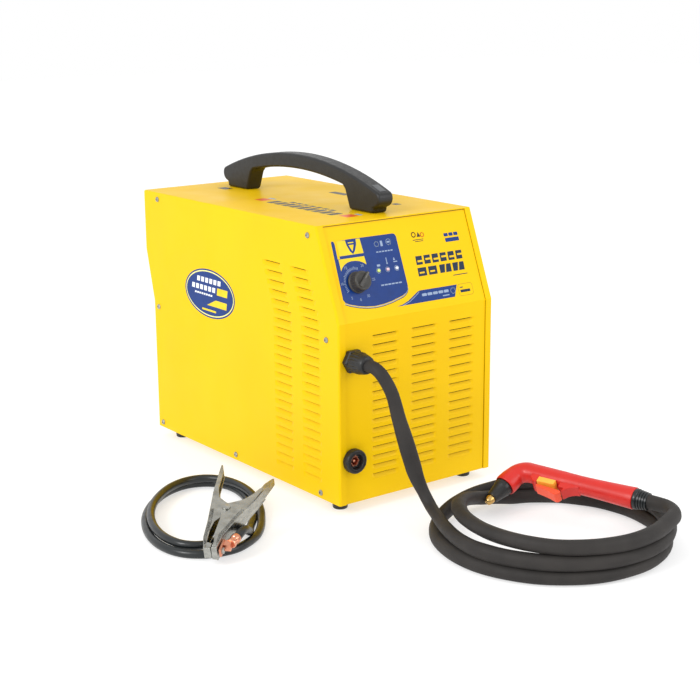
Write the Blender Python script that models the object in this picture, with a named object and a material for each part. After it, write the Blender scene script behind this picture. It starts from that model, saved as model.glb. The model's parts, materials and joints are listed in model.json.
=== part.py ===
"""Portable plasma cutter with its own compressor, its torch and its earth lead.

Units are metres. +Z is up, the front panel faces -Y and +X is to the right seen from the front.
The origin is at floor level, midway between the unit's sides and between its furthest front and
rear points, without the torch and the earth lead that lie beside it.
"""
import math

import bmesh
import bpy
import numpy as np
from mathutils import Matrix, Vector

# ---- Driving dimensions of the case ----
CASE_WIDTH = 0.289
CASE_HEIGHT = 0.400          # without the feet
CASE_LENGTH = 0.512          # at the bottom
FOOT_HEIGHT = 0.016
FRONT_SLOPE_START = 0.267    # height above the case bottom where the front leans back
FRONT_SLOPE_DEPTH = 0.052
REAR_SLOPE_LOW = 0.217       # the back leans out between these two heights
REAR_SLOPE_HIGH = 0.303
REAR_BULGE = 0.021
SHEET = 0.0015
GAP = 0.0003                 # clearance between neighbouring pieces
BEND_RADIUS = 0.003          # outside the folds; the insides are sharp
FLANGE = 0.012               # front flange of the cover
PANEL_RETURN = 0.048         # depth of the side returns of the front and rear panels
TRAY_WALL = 0.020

# ---- What stands out of the case ----
GLAND_REACH = 0.0363         # torch gland, in front of the case
REAR_REACH = 0.022           # mains gland, behind the rear panel

FRONT_Y = -(CASE_LENGTH + REAR_BULGE + REAR_REACH - GLAND_REACH) / 2
FLOOR_OF_CASE = FOOT_HEIGHT
CASE_TOP = FOOT_HEIGHT + CASE_HEIGHT
HALF = CASE_WIDTH / 2
INNER_HALF = HALF - SHEET - GAP

# ---- Louvres ----
LOUVRE_PITCH = 0.0138
LOUVRE_HEIGHT = 0.0078
FRONT_LOUVRE_LENGTH = 0.050
FRONT_LOUVRE_ROWS = 16
FRONT_LOUVRE_LOW = 0.0368    # lowest row above the case bottom
FRONT_LOUVRE_COLUMNS = (-0.0600, 0.0123, 0.0846)
SIDE_LOUVRE_LENGTH = 0.046
SIDE_LOUVRE_ROWS = 23
SIDE_LOUVRE_LOW = 0.031
SIDE_LOUVRE_COLUMNS = (0.066, 0.137)   # column centres behind the front, below the slope

# ---- Carrying handle ----
HANDLE_CENTRE = 0.285        # behind the front
HANDLE_HALF_LENGTH = 0.206
HANDLE_RISE = 0.071
HANDLE_WIDTH = 0.028
HANDLE_ARC_RADIUS = 0.560

# ---- Fittings on the panels ----
FITTING_X = -0.121           # torch gland and earth socket share a vertical line
GLAND_HEIGHT = 0.229
SOCKET_HEIGHT = 0.0815
NECK_RADIUS = 0.0111         # of both, where they pass the panel beside the cover's flange
KNOB_X = -0.0950
KNOB_UP_SLOPE = 0.0555       # distance up the sloping panel from its lower bend
LED_XS = (-0.0524, -0.0358, -0.0192)
LED_UP_SLOPE = 0.0675
SWITCH_X = 0.070
MAINS_GLAND_X = -0.080
REAR_FITTING_HEIGHT = 0.367
FAN_HEIGHT = 0.128
FAN_SIZE = 0.120
FAN_DEPTH = 0.025

# ---- Torch, its cable and where they lie ----
TORCH_CABLE_RADIUS = 0.0105
COIL_CENTRE = (0.042, -0.250)          # behind the front, on the floor
COIL_RADIUS = 0.150
COIL_HEIGHT = 0.040
TOP_TURN_CENTRE = (0.044, -0.257)
TOP_TURN_RADIUS = 0.146
TOP_TURN_HEIGHT = 0.0512
TORCH_ELBOW = (0.081, -0.135, 0.0595)
TORCH_TAIL = (0.131, -0.310, 0.0550)
TORCH_TIP = (0.013, -0.138, 0.0260)
HEAD_LENGTH = 0.036                    # from the elbow to the end of the moulded head
CUP_LENGTH = 0.028

# ---- Earth lead ----
EARTH_CABLE_RADIUS = 0.006
OVAL_CENTRE = (-0.308, 0.113)
OVAL_HEADING = math.radians(57.0)
OVAL_OUTER = (0.135, 0.074)            # centre line of the lower, outer turn
OVAL_STEP = 0.007                      # how far the upper turn lies inside the lower one
OVAL_HEIGHT = 0.0220
CLAMP_TIP = (-0.4015, -0.0554, 0.0153)
CLAMP_HEADING = math.radians(41.5)
CLAMP_TILT = math.radians(18.0)
CLAMP_PIVOT = 0.100
CLAMP_JAW = 0.016                      # where the jaws begin
LUG_FOOT = (0.031, -0.0190, 0.0)
LUG_SPLAY = math.radians(17.0)         # between the lug's barrel and the clamp's middle line
LUG_BARREL = (0.007, 0.023)            # along the barrel, from the foot
CLAMP_SHEET = 0.0015
# Each arm's outer edge from jaw to handle end, and its cheek plate, seen from above the clamp.
CLAMP_ARMS = {
    "clamp_moving_arm": (
        [(0.016, 0.0100), (0.038, 0.0160), (0.069, 0.0190), (0.0975, 0.0230), (0.137, 0.0290),
         (0.202, 0.0347)],
        [(0.020, 0.0105), (0.026, 0.0085), (0.047, 0.0115), (0.072, 0.0095), (0.083, 0.0030),
         (0.0915, -0.0055), (0.108, -0.0060), (0.114, 0.0040), (0.124, 0.0160), (0.150, 0.0235),
         (0.150, 0.0298), (0.137, 0.0285), (0.0975, 0.0225), (0.069, 0.0185), (0.038, 0.0155)]),
    "clamp_fixed_arm": (
        [(0.016, -0.0085), (0.041, -0.0100), (0.072, -0.0190), (0.0975, -0.0270), (0.124, -0.0350),
         (0.177, -0.0482)],
        [(0.020, -0.0082), (0.020, -0.0020), (0.026, -0.0020), (0.044, 0.0020), (0.083, 0.0030),
         (0.0925, 0.0070), (0.106, 0.0070), (0.112, -0.0040), (0.120, -0.0170), (0.146, -0.0330),
         (0.150, -0.0410), (0.124, -0.0345), (0.0975, -0.0265), (0.072, -0.0185), (0.041, -0.0095)]),
}
PLUG_REAR = (-0.326, 0.034)
PLUG_HEADING = math.radians(50.0)
PLUG_RADIUS = 0.014
PLUG_LENGTH = 0.062

# ---- Materials: colour, roughness, metallic ----
MATERIALS = {
    "yellow_paint": ((0.95, 0.66, 0.01), 0.35, 0.0),
    "black_plastic": ((0.02, 0.02, 0.022), 0.45, 0.0),
    "black_rubber": ((0.025, 0.027, 0.028), 0.75, 0.0),
    "cable_sleeve": ((0.045, 0.047, 0.05), 0.8, 0.0),
    "red_plastic": ((0.62, 0.03, 0.02), 0.4, 0.0),
    "orange_plastic": ((0.85, 0.12, 0.03), 0.4, 0.0),
    "amber_plastic": ((0.9, 0.5, 0.05), 0.4, 0.0),
    "brass": ((0.75, 0.52, 0.22), 0.35, 1.0),
    "copper": ((0.8, 0.4, 0.25), 0.35, 1.0),
    "zinc_steel": ((0.62, 0.62, 0.6), 0.35, 1.0),
    "bare_aluminium": ((0.7, 0.7, 0.72), 0.4, 1.0),
    "led_green": ((0.5, 0.75, 0.15), 0.2, 0.0),
    "led_red": ((0.75, 0.35, 0.35), 0.2, 0.0),
    "led_white": ((0.8, 0.8, 0.78), 0.2, 0.0),
    "circuit_board": ((0.03, 0.22, 0.08), 0.5, 0.0),
    "cast_grey": ((0.25, 0.26, 0.27), 0.55, 0.6),
}

SMALL_SEGMENTS = 10
MEDIUM_SEGMENTS = 20
LARGE_SEGMENTS = 32
ALONG = {"X": Matrix.Rotation(math.radians(90), 4, "Y"),
         "Y": Matrix.Rotation(math.radians(-90), 4, "X"),
         "Z": Matrix.Identity(4)}


# ---------------------------------------------------------------- scene and object helpers
def clear_scene():
    for obj in list(bpy.data.objects):
        bpy.data.objects.remove(obj, do_unlink=True)


def material(name):
    """The named Principled material, made on first use."""
    if name in bpy.data.materials:
        return bpy.data.materials[name]
    colour, roughness, metallic = MATERIALS[name]
    mat = bpy.data.materials.new(name)
    mat.use_nodes = True
    shader = mat.node_tree.nodes["Principled BSDF"]
    shader.inputs["Base Color"].default_value = (*colour, 1.0)
    shader.inputs["Roughness"].default_value = roughness
    shader.inputs["Metallic"].default_value = metallic
    return mat


def at(x, behind_front, height):
    """World position from the distance behind the case front and the height above the floor."""
    return Vector((x, FRONT_Y + behind_front, height))


def face_outwards(bm):
    """Turn every face of a closed shape outwards."""
    bmesh.ops.recalc_face_normals(bm, faces=bm.faces)
    if bm.calc_volume(signed=True) < 0:
        bmesh.ops.reverse_faces(bm, faces=bm.faces)


def add_object(name, bm, mat_name, origin=None, parent=None, smooth=None):
    """Link a mesh object; origin moves its own zero point without moving the shape."""
    face_outwards(bm)
    mesh = bpy.data.meshes.new(name)
    bm.to_mesh(mesh)
    bm.free()
    if smooth is not None:
        mesh.shade_smooth()
        mesh.set_sharp_from_angle(angle=math.radians(smooth))
    mesh.materials.append(material(mat_name))
    obj = bpy.data.objects.new(name, mesh)
    bpy.context.scene.collection.objects.link(obj)
    if origin is not None:
        mesh.transform(Matrix.Translation(-Vector(origin)))
        obj.location = origin
    if parent is not None:
        obj.parent = parent
    return obj


def combine(obj, bm, operation="DIFFERENCE"):
    """Cut or join a helper shape, given in the object's own coordinates."""
    index = sum(1 for modifier in obj.modifiers if modifier.type == "BOOLEAN")
    helper = add_object(f"{obj.name}_tool_{index}", bm, "black_plastic")
    helper.hide_render = True
    helper.display_type = "WIRE"
    helper.location = obj.location
    helper.parent = obj.parent
    modifier = obj.modifiers.new(f"boolean_{index}", "BOOLEAN")
    modifier.operation = operation
    modifier.solver = "EXACT"
    modifier.object = helper
    return obj


def soften(obj, width, segments=2, angle=40.0):
    """Rounded edges wherever two faces meet at more than the angle."""
    modifier = obj.modifiers.new("soften", "BEVEL")
    modifier.width = width
    modifier.segments = segments
    modifier.limit_method = "ANGLE"
    modifier.angle_limit = math.radians(angle)
    modifier.use_clamp_overlap = True
    return obj


# ---------------------------------------------------------------- shape helpers
def merged(parts):
    """One bmesh holding several closed shapes."""
    whole = bmesh.new()
    for part in parts:
        mesh = bpy.data.meshes.new("part")
        part.to_mesh(mesh)
        part.free()
        whole.from_mesh(mesh)
        bpy.data.meshes.remove(mesh)
    return whole


def prism(outline, axis, low, high):
    """A closed outline in the two other axes (in X, Y, Z order), extruded along the axis."""
    place = {"X": lambda a, b, t: (t, a, b),
             "Y": lambda a, b, t: (a, t, b),
             "Z": lambda a, b, t: (a, b, t)}[axis]
    bm = bmesh.new()
    lower = [bm.verts.new(place(a, b, low)) for a, b in outline]
    upper = [bm.verts.new(place(a, b, high)) for a, b in outline]
    bm.faces.new(lower)
    bm.faces.new(upper)
    for i in range(len(outline)):
        j = (i + 1) % len(outline)
        bm.faces.new((lower[i], lower[j], upper[j], upper[i]))
    face_outwards(bm)
    return bm


def box(low, high):
    """An axis-aligned block between two corners."""
    outline = [(low[0], low[1]), (high[0], low[1]), (high[0], high[1]), (low[0], high[1])]
    return prism(outline, "Z", low[2], high[2])


def turned(profile, segments, axis="Z", centre=(0, 0, 0), closed=False):
    """A profile of (radius, distance along the axis) turned round; closed makes a ring."""
    bm = bmesh.new()
    rings = []
    for radius, height in profile:
        if radius < 1e-6:
            rings.append([bm.verts.new((0, 0, height))])
            continue
        rings.append([bm.verts.new((radius * math.cos(2 * math.pi * k / segments),
                                    radius * math.sin(2 * math.pi * k / segments), height))
                      for k in range(segments)])
    pairs = list(zip(rings, rings[1:]))
    if closed:
        pairs.append((rings[-1], rings[0]))
    for first, second in pairs:
        for k in range(segments):
            n = (k + 1) % segments
            corners = [first[k % len(first)], first[n % len(first)],
                       second[n % len(second)], second[k % len(second)]]
            bm.faces.new(list(dict.fromkeys(corners)))
    for ring, keep_open in ((rings[0], closed), (rings[-1], closed)):
        if len(ring) > 1 and not keep_open:
            bm.faces.new(ring)
    bm.transform(Matrix.Translation(Vector(centre)) @ ALONG[axis])
    face_outwards(bm)
    return bm


def rod(start, end, radius, segments):
    """A plain round bar between two points."""
    start, end = Vector(start), Vector(end)
    along = end - start
    bm = turned([(radius, 0), (radius, along.length)], segments)
    bm.transform(Matrix.Translation(start) @ along.to_track_quat("Z", "Y").to_matrix().to_4x4())
    return bm


def loft(rings):
    """Closed skin over rings of equal point count, with flat ends."""
    bm = bmesh.new()
    loops = [[bm.verts.new(point) for point in ring] for ring in rings]
    for first, second in zip(loops, loops[1:]):
        for k in range(len(first)):
            n = (k + 1) % len(first)
            bm.faces.new((first[k], first[n], second[n], second[k]))
    bm.faces.new(loops[0])
    bm.faces.new(loops[-1])
    face_outwards(bm)
    return bm


def offset_line(points, distance):
    """An open line moved sideways to its right by the distance, with mitred corners."""
    points = [Vector(p) for p in points]
    normals = []
    for first, second in zip(points, points[1:]):
        direction = (second - first).normalized()
        normals.append(Vector((direction.y, -direction.x)))
    moved = []
    for i, point in enumerate(points):
        before = normals[max(i - 1, 0)]
        after = normals[min(i, len(normals) - 1)]
        mitre = (before + after).normalized()
        moved.append(point + mitre * (distance / mitre.dot(after)))
    return [(p.x, p.y) for p in moved]


def smooth_route(points, spacing):
    """Points at even spacing along a smooth curve through the route's own points."""
    route = np.array([tuple(p) for p in points], dtype=float)
    padded = np.vstack([2 * route[0] - route[1], route, 2 * route[-1] - route[-2]])
    samples = []
    for i in range(len(route) - 1):
        a, b, c, d = padded[i:i + 4]
        for t in np.linspace(0.0, 1.0, 24, endpoint=False):
            samples.append(0.5 * (2 * b + (c - a) * t + (2 * a - 5 * b + 4 * c - d) * t ** 2
                                  + (3 * b - a - 3 * c + d) * t ** 3))
    samples.append(route[-1])
    samples = np.array(samples)
    steps = np.concatenate([[0.0], np.cumsum(np.linalg.norm(np.diff(samples, axis=0), axis=1))])
    count = max(2, int(round(steps[-1] / spacing)) + 1)
    wanted = np.linspace(0.0, steps[-1], count)
    return [Vector([float(np.interp(w, steps, samples[:, axis])) for axis in range(3)])
            for w in wanted]


def cable(name, points, radius, mat_name, sides_level=2):
    """A round cable along the points, with filled ends."""
    curve = bpy.data.curves.new(name, "CURVE")
    curve.dimensions = "3D"
    curve.bevel_depth = radius
    curve.bevel_resolution = sides_level
    curve.render_resolution_u = 0
    curve.use_fill_caps = True
    spline = curve.splines.new("POLY")
    spline.points.add(len(points) - 1)
    for slot, point in zip(spline.points, points):
        slot.co = (*point, 1.0)
    curve.materials.append(material(mat_name))
    obj = bpy.data.objects.new(name, curve)
    bpy.context.scene.collection.objects.link(obj)
    return obj


# ---------------------------------------------------------------- case outline
def front_line(inset=0.0):
    """The front's side view, bottom to top, moved inwards by the inset."""
    line = [(FRONT_Y, FLOOR_OF_CASE),
            (FRONT_Y, FLOOR_OF_CASE + FRONT_SLOPE_START),
            (FRONT_Y + FRONT_SLOPE_DEPTH, CASE_TOP)]
    return offset_line(line, inset)


def rear_line(inset=0.0):
    """The back's side view, bottom to top, moved inwards by the inset."""
    rear = FRONT_Y + CASE_LENGTH
    line = [(rear, FLOOR_OF_CASE),
            (rear, FLOOR_OF_CASE + REAR_SLOPE_LOW),
            (rear + REAR_BULGE, FLOOR_OF_CASE + REAR_SLOPE_HIGH),
            (rear + REAR_BULGE, CASE_TOP)]
    return offset_line(line, -inset)


def slope_frame():
    """Origin, up-slope direction and outward normal of the sloping front."""
    rise = CASE_HEIGHT - FRONT_SLOPE_START
    up = Vector((0, FRONT_SLOPE_DEPTH, rise)).normalized()
    normal = Vector((0, -rise, FRONT_SLOPE_DEPTH)).normalized()
    recess = SHEET + GAP
    corner = front_line(recess)[1]
    return Vector((0, corner[0], corner[1])), up, normal


def on_slope(x, up_slope, out=0.0):
    """A point on the sloping panel, or standing out of it."""
    origin, up, normal = slope_frame()
    return origin + Vector((x, 0, 0)) + up * up_slope + normal * out


def slope_matrix(x, up_slope):
    """Places a shape turned about Z so that it stands out of the sloping panel."""
    _, up, normal = slope_frame()
    rotation = Matrix((Vector((1, 0, 0)), up, normal)).transposed()
    return Matrix.Translation(on_slope(x, up_slope)) @ rotation.to_4x4()


def louvre_slots_front():
    """Slots through the vertical part of the front panel."""
    slots = []
    for centre in FRONT_LOUVRE_COLUMNS:
        for row in range(FRONT_LOUVRE_ROWS):
            top = FLOOR_OF_CASE + FRONT_LOUVRE_LOW + row * LOUVRE_PITCH
            slots.append(box((centre - FRONT_LOUVRE_LENGTH / 2, FRONT_Y - 0.002, top - LOUVRE_HEIGHT),
                             (centre + FRONT_LOUVRE_LENGTH / 2, FRONT_Y + 0.010, top)))
    return merged(slots)


def louvre_slots_side(side):
    """Slots through one side of the cover; above the bend they step back with the front."""
    slots = []
    lean = FRONT_SLOPE_DEPTH / (CASE_HEIGHT - FRONT_SLOPE_START)
    outer, inner = side * (HALF + 0.002), side * (HALF - 0.004)
    for column in SIDE_LOUVRE_COLUMNS:
        for row in range(SIDE_LOUVRE_ROWS):
            height = SIDE_LOUVRE_LOW + row * LOUVRE_PITCH
            centre = FRONT_Y + column + lean * max(0.0, height - FRONT_SLOPE_START)
            top = FLOOR_OF_CASE + height
            slots.append(box((min(outer, inner), centre - SIDE_LOUVRE_LENGTH / 2, top - LOUVRE_HEIGHT),
                             (max(outer, inner), centre + SIDE_LOUVRE_LENGTH / 2, top)))
    return merged(slots)


def screw_positions():
    """Distance behind the front and height above the case bottom of one side's cover screws."""
    return {"top_rear": (0.490, 0.389), "top_front": (0.071, 0.385), "mid_front": (0.029, 0.241),
            "mid_rear": (0.498, 0.209), "low_rear": (0.498, 0.009), "low_mid": (0.273, 0.009),
            "low_front": (0.046, 0.009)}


# ---------------------------------------------------------------- sheet metal
def screw_holes(radius, low_x, high_x, names):
    """Round holes across the sheet on both sides for the named cover screws."""
    holes = []
    for side in (-1, 1):
        for name in names:
            behind, height = screw_positions()[name]
            centre = at(0, behind, FLOOR_OF_CASE + height)
            holes.append(rod((side * low_x, centre.y, centre.z), (side * high_x, centre.y, centre.z),
                             radius, SMALL_SEGMENTS))
    return merged(holes)


def bend_edges(bm):
    """The long top edges and the front corner edges, where the sheet is folded."""
    chosen = []
    for edge in bm.edges:
        a, b = edge.verts
        on_side = abs(a.co.x - b.co.x) < 1e-6
        top = a.co.z > CASE_TOP - 0.004 and b.co.z > CASE_TOP - 0.004
        front = max(a.co.y, b.co.y) < FRONT_Y + FRONT_SLOPE_DEPTH + 0.004
        if on_side and (top or front) and edge.calc_length() > 0.1:
            chosen.append(edge)
    return chosen


def make_cover():
    """Folded top and sides in one sheet, with narrow flanges round the front."""
    bm = prism(front_line() + rear_line()[::-1], "X", -HALF, HALF)
    bmesh.ops.bevel(bm, geom=bend_edges(bm), offset=BEND_RADIUS, segments=3, profile=0.5,
                    affect="EDGES")
    cover = add_object("cover_shell", bm, "yellow_paint", smooth=30)

    front = front_line(SHEET)
    lean = (front[2][0] - front[1][0]) / (front[2][1] - front[1][1])
    roof = CASE_TOP - SHEET
    inner_top = (front[1][0] + (roof - front[1][1]) * lean, roof)
    behind = FRONT_Y + CASE_LENGTH + REAR_BULGE + 0.02
    outline = [(front[0][0], FLOOR_OF_CASE - 0.01), front[1], inner_top,
               (behind, roof), (behind, FLOOR_OF_CASE - 0.01)]
    combine(cover, prism(outline, "X", -(HALF - SHEET), HALF - SHEET))
    window = box((-(HALF - FLANGE), FRONT_Y - 0.02, FLOOR_OF_CASE - 0.01),
                 (HALF - FLANGE, FRONT_Y + FRONT_SLOPE_DEPTH + 0.02, roof - 0.0001))
    combine(cover, window)
    combine(cover, louvre_slots_side(-1))
    combine(cover, louvre_slots_side(1))
    combine(cover, screw_holes(0.0024, HALF - 0.004, HALF + 0.004, screw_positions()))


def panel_returns(line, inner_line, low):
    """Side view of a panel's returns, from just behind its face to the returns' edge."""
    def cut_low(points):
        return [(points[0][0], low)] + list(points[1:])
    return cut_low(line) + cut_low(inner_line)[::-1]


def make_panel(name, line_at, roof):
    """A bent face with a return down each side that the cover is screwed to."""
    face_inset = SHEET + GAP
    face = line_at(face_inset)
    back = line_at(face_inset + SHEET)
    for points in (face, back):
        lean = (points[-1][0] - points[-2][0]) / (points[-1][1] - points[-2][1])
        points[-1] = (points[-2][0] + (roof - points[-2][1]) * lean, roof)
    panel = add_object(name, prism(face + back[::-1], "X", -INNER_HALF, INNER_HALF), "yellow_paint")
    edge = line_at(face_inset + PANEL_RETURN)
    top_lean = (edge[-1][0] - edge[-2][0]) / (edge[-1][1] - edge[-2][1])
    edge[-1] = (edge[-2][0] + (roof - edge[-2][1]) * top_lean, roof)
    near = line_at(face_inset + SHEET / 2)
    near[-1] = (near[-2][0] + (roof - near[-2][1]) * (face[-1][0] - face[-2][0])
                / (face[-1][1] - face[-2][1]), roof)
    outline = panel_returns(near, edge, FLOOR_OF_CASE + TRAY_WALL + 0.004)
    for side in (-1, 1):
        low, high = sorted((side * INNER_HALF, side * (INNER_HALF - SHEET)))
        combine(panel, prism(outline, "X", low, high), "UNION")
    return panel


def make_front_panel():
    """Front sheet: louvred below, leaning back above with the controls."""
    panel = make_panel("front_panel", front_line, CASE_TOP - SHEET - GAP)
    combine(panel, louvre_slots_front())
    holes = [rod(at(FITTING_X, -0.01, GLAND_HEIGHT), at(FITTING_X, 0.02, GLAND_HEIGHT),
                 NECK_RADIUS + GAP, MEDIUM_SEGMENTS),
             rod(at(FITTING_X, -0.01, SOCKET_HEIGHT), at(FITTING_X, 0.02, SOCKET_HEIGHT),
                 NECK_RADIUS + GAP, MEDIUM_SEGMENTS),
             rod(on_slope(KNOB_X, KNOB_UP_SLOPE, -0.006), on_slope(KNOB_X, KNOB_UP_SLOPE, 0.006),
                 0.0038, SMALL_SEGMENTS)]
    for x in LED_XS:
        holes.append(rod(on_slope(x, LED_UP_SLOPE, -0.006), on_slope(x, LED_UP_SLOPE, 0.006),
                         0.0029, SMALL_SEGMENTS))
    combine(panel, merged(holes))
    combine(panel, screw_holes(0.0024, INNER_HALF - 0.004, INNER_HALF + 0.004,
                               ("top_front", "mid_front")))


def make_rear_panel():
    """Rear sheet with the fan grille below and the mains fittings above."""
    panel = make_panel("rear_panel", rear_line, CASE_TOP - SHEET - GAP)
    rear = FRONT_Y + CASE_LENGTH
    slots = []
    for row in range(-4, 5):
        length = 2 * math.sqrt(max(0.0, 0.052 ** 2 - (row * 0.0115) ** 2))
        slots.append(box((-length / 2, rear - 0.010, FAN_HEIGHT + row * 0.0115 - 0.0035),
                         (length / 2, rear + 0.004, FAN_HEIGHT + row * 0.0115 + 0.0035)))
    combine(panel, merged(slots))
    face = rear + REAR_BULGE
    switch_hole = box((SWITCH_X - 0.0138, face - 0.010, REAR_FITTING_HEIGHT - 0.0113),
                      (SWITCH_X + 0.0138, face + 0.004, REAR_FITTING_HEIGHT + 0.0113))
    gland_hole = rod((MAINS_GLAND_X, face - 0.010, REAR_FITTING_HEIGHT),
                     (MAINS_GLAND_X, face + 0.004, REAR_FITTING_HEIGHT), 0.0103, MEDIUM_SEGMENTS)
    combine(panel, merged([switch_hole, gland_hole]))
    combine(panel, screw_holes(0.0024, INNER_HALF - 0.004, INNER_HALF + 0.004,
                               ("top_rear", "mid_rear")))


def make_base_tray():
    """Floor of the case with a low wall all round."""
    clearance = 2 * (SHEET + GAP)
    low = (-INNER_HALF, FRONT_Y + clearance, FLOOR_OF_CASE)
    high = (INNER_HALF, FRONT_Y + CASE_LENGTH - clearance, FLOOR_OF_CASE + TRAY_WALL)
    tray = add_object("base_tray", box(low, high), "yellow_paint")
    combine(tray, box((low[0] + SHEET, low[1] + SHEET, low[2] + SHEET),
                      (high[0] - SHEET, high[1] - SHEET, high[2] + 0.01)))
    combine(tray, screw_holes(0.0024, INNER_HALF - 0.004, INNER_HALF + 0.004,
                              ("low_rear", "low_mid", "low_front")))


def make_feet():
    """Four turned rubber feet with a screw recess underneath."""
    profile = [(0.0035, 0.004), (0.0045, 0.0), (0.0100, 0.0), (0.0110, 0.001),
               (0.0125, FOOT_HEIGHT - 0.002), (0.0125, FOOT_HEIGHT - GAP)]
    for row, behind in (("front", 0.034), ("rear", 0.479)):
        for side, x in (("left", -0.119), ("right", 0.119)):
            centre = at(x, behind, 0)
            foot = turned([(0, 0.004)] + profile + [(0, FOOT_HEIGHT - GAP)], MEDIUM_SEGMENTS,
                          centre=centre)
            add_object(f"foot_{row}_{side}", foot, "black_rubber", smooth=35)


def make_cover_screws():
    """Domed screws down both sides of the cover, each through the sheet behind it."""
    for side, word in ((-1, "left"), (1, "right")):
        for name, (behind, height) in screw_positions().items():
            face = HALF + GAP
            profile = [(0, -0.0085), (0.0020, -0.0085), (0.0020, 0.0), (0.0045, 0.0),
                       (0.0045, 0.0006), (0.0036, 0.0018), (0.0016, 0.0025), (0, 0.0025)]
            screw = turned(profile, SMALL_SEGMENTS)
            turn = Matrix.Rotation(math.radians(90 * side), 4, "Y")
            screw.transform(Matrix.Translation(at(side * face, behind, FLOOR_OF_CASE + height)) @ turn)
            add_object(f"cover_screw_{word}_{name}", screw, "zinc_steel", smooth=35)


# ---------------------------------------------------------------- handle and controls
def make_carry_handle():
    """Moulded bow with a foot at each end and a short overhang beyond each foot."""
    def arc(radius, top, start, end, count):
        return [(u, top - radius + math.sqrt(radius ** 2 - u ** 2))
                for u in np.linspace(start, end, count)]
    outer = arc(HANDLE_ARC_RADIUS, HANDLE_RISE, -HANDLE_HALF_LENGTH, HANDLE_HALF_LENGTH, 21)
    nose = [(0.2105, 0.027), (0.2095, 0.019), (0.204, 0.0135), (0.190, 0.0095), (0.187, GAP)]
    inner = arc(0.600, 0.0480, 0.121, -0.121, 15)
    foot = [(0.139, GAP), (0.1275, 0.029)]
    mirror = [(-u, z) for u, z in reversed(nose + foot)]
    outline = outer + nose + foot + inner + mirror
    centre = FRONT_Y + HANDLE_CENTRE
    placed = [(centre + u, CASE_TOP + z) for u, z in outline]
    handle = add_object("carry_handle", prism(placed, "X", -HANDLE_WIDTH / 2, HANDLE_WIDTH / 2),
                        "black_plastic", smooth=40)
    soften(handle, 0.0065, segments=3, angle=60)


def make_current_knob():
    """Fluted skirt knob with a pointer rib; its shaft runs through the sloping panel."""
    place = slope_matrix(KNOB_X, KNOB_UP_SLOPE)
    axis_point = on_slope(KNOB_X, KNOB_UP_SLOPE)
    profile = [(0, -0.012), (0.003, -0.012), (0.003, 0.0008), (0.0158, 0.0008), (0.0158, 0.0028),
               (0.0148, 0.0042), (0.0140, 0.0170), (0.0128, 0.0185), (0, 0.0185)]
    bm = turned(profile, LARGE_SEGMENTS)
    bm.transform(place)
    knob = add_object("current_knob", bm, "black_plastic", origin=axis_point, smooth=35)
    tilt = math.radians(-45)
    rib = box((-0.0014, -0.002, 0.0170), (0.0014, 0.0136, 0.0195))
    rib.transform(Matrix.Translation(-axis_point) @ place @ Matrix.Rotation(tilt, 4, "Z"))
    combine(knob, rib, "UNION")


def make_indicators():
    """Three small lamps beside the dial."""
    profile = [(0, -0.006), (0.0025, -0.006), (0.0025, 0.0010), (0.0018, 0.0022), (0, 0.0026)]
    for number, (x, colour) in enumerate(zip(LED_XS, ("led_green", "led_red", "led_white")), 1):
        lamp = turned(profile, SMALL_SEGMENTS)
        lamp.transform(slope_matrix(x, LED_UP_SLOPE))
        add_object(f"indicator_{number}", lamp, colour, smooth=40)


def make_torch_gland():
    """Threaded gland that grips the torch cable, and its hexagonal nut."""
    face = SHEET + GAP
    centre = at(FITTING_X, 0, GLAND_HEIGHT)
    body = [(0, face + 0.020), (NECK_RADIUS, face + 0.020), (NECK_RADIUS, -0.0090), (0.0155, -0.0093),
            (0.0155, -0.0225), (0.0142, -0.0300), (0.0125, -GLAND_REACH), (0, -GLAND_REACH)]
    add_object("torch_gland_body", turned(body, MEDIUM_SEGMENTS, "Y", centre), "black_plastic", smooth=35)
    bore = NECK_RADIUS + 2 * GAP
    nut = [(bore / math.cos(math.pi / 6), -GAP), (bore / math.cos(math.pi / 6), -0.0086),
           (0.0165, -0.0086), (0.0182, -0.0066), (0.0182, -GAP)]
    add_object("torch_gland_nut", turned(nut, 6, "Y", centre, closed=True), "black_plastic")


def make_earth_socket():
    """Panel socket for the earth plug: an insulating body round a metal sleeve."""
    face = SHEET + GAP
    centre = at(FITTING_X, 0, SOCKET_HEIGHT)
    body = [(0.0085, face + 0.022), (NECK_RADIUS, face + 0.022), (NECK_RADIUS, -GAP), (0.0178, -GAP),
            (0.0178, -0.0085), (0.0165, -0.0112), (0.0120, -0.0112), (0.0085, -0.0085)]
    add_object("earth_socket_body", turned(body, LARGE_SEGMENTS, "Y", centre, closed=True),
               "black_plastic", smooth=35)
    sleeve = [(0.0062, face + 0.020), (0.0082, face + 0.020), (0.0082, -0.0030), (0.0062, -0.0030)]
    add_object("earth_socket_contact", turned(sleeve, MEDIUM_SEGMENTS, "Y", centre, closed=True),
               "copper", smooth=35)


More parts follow.
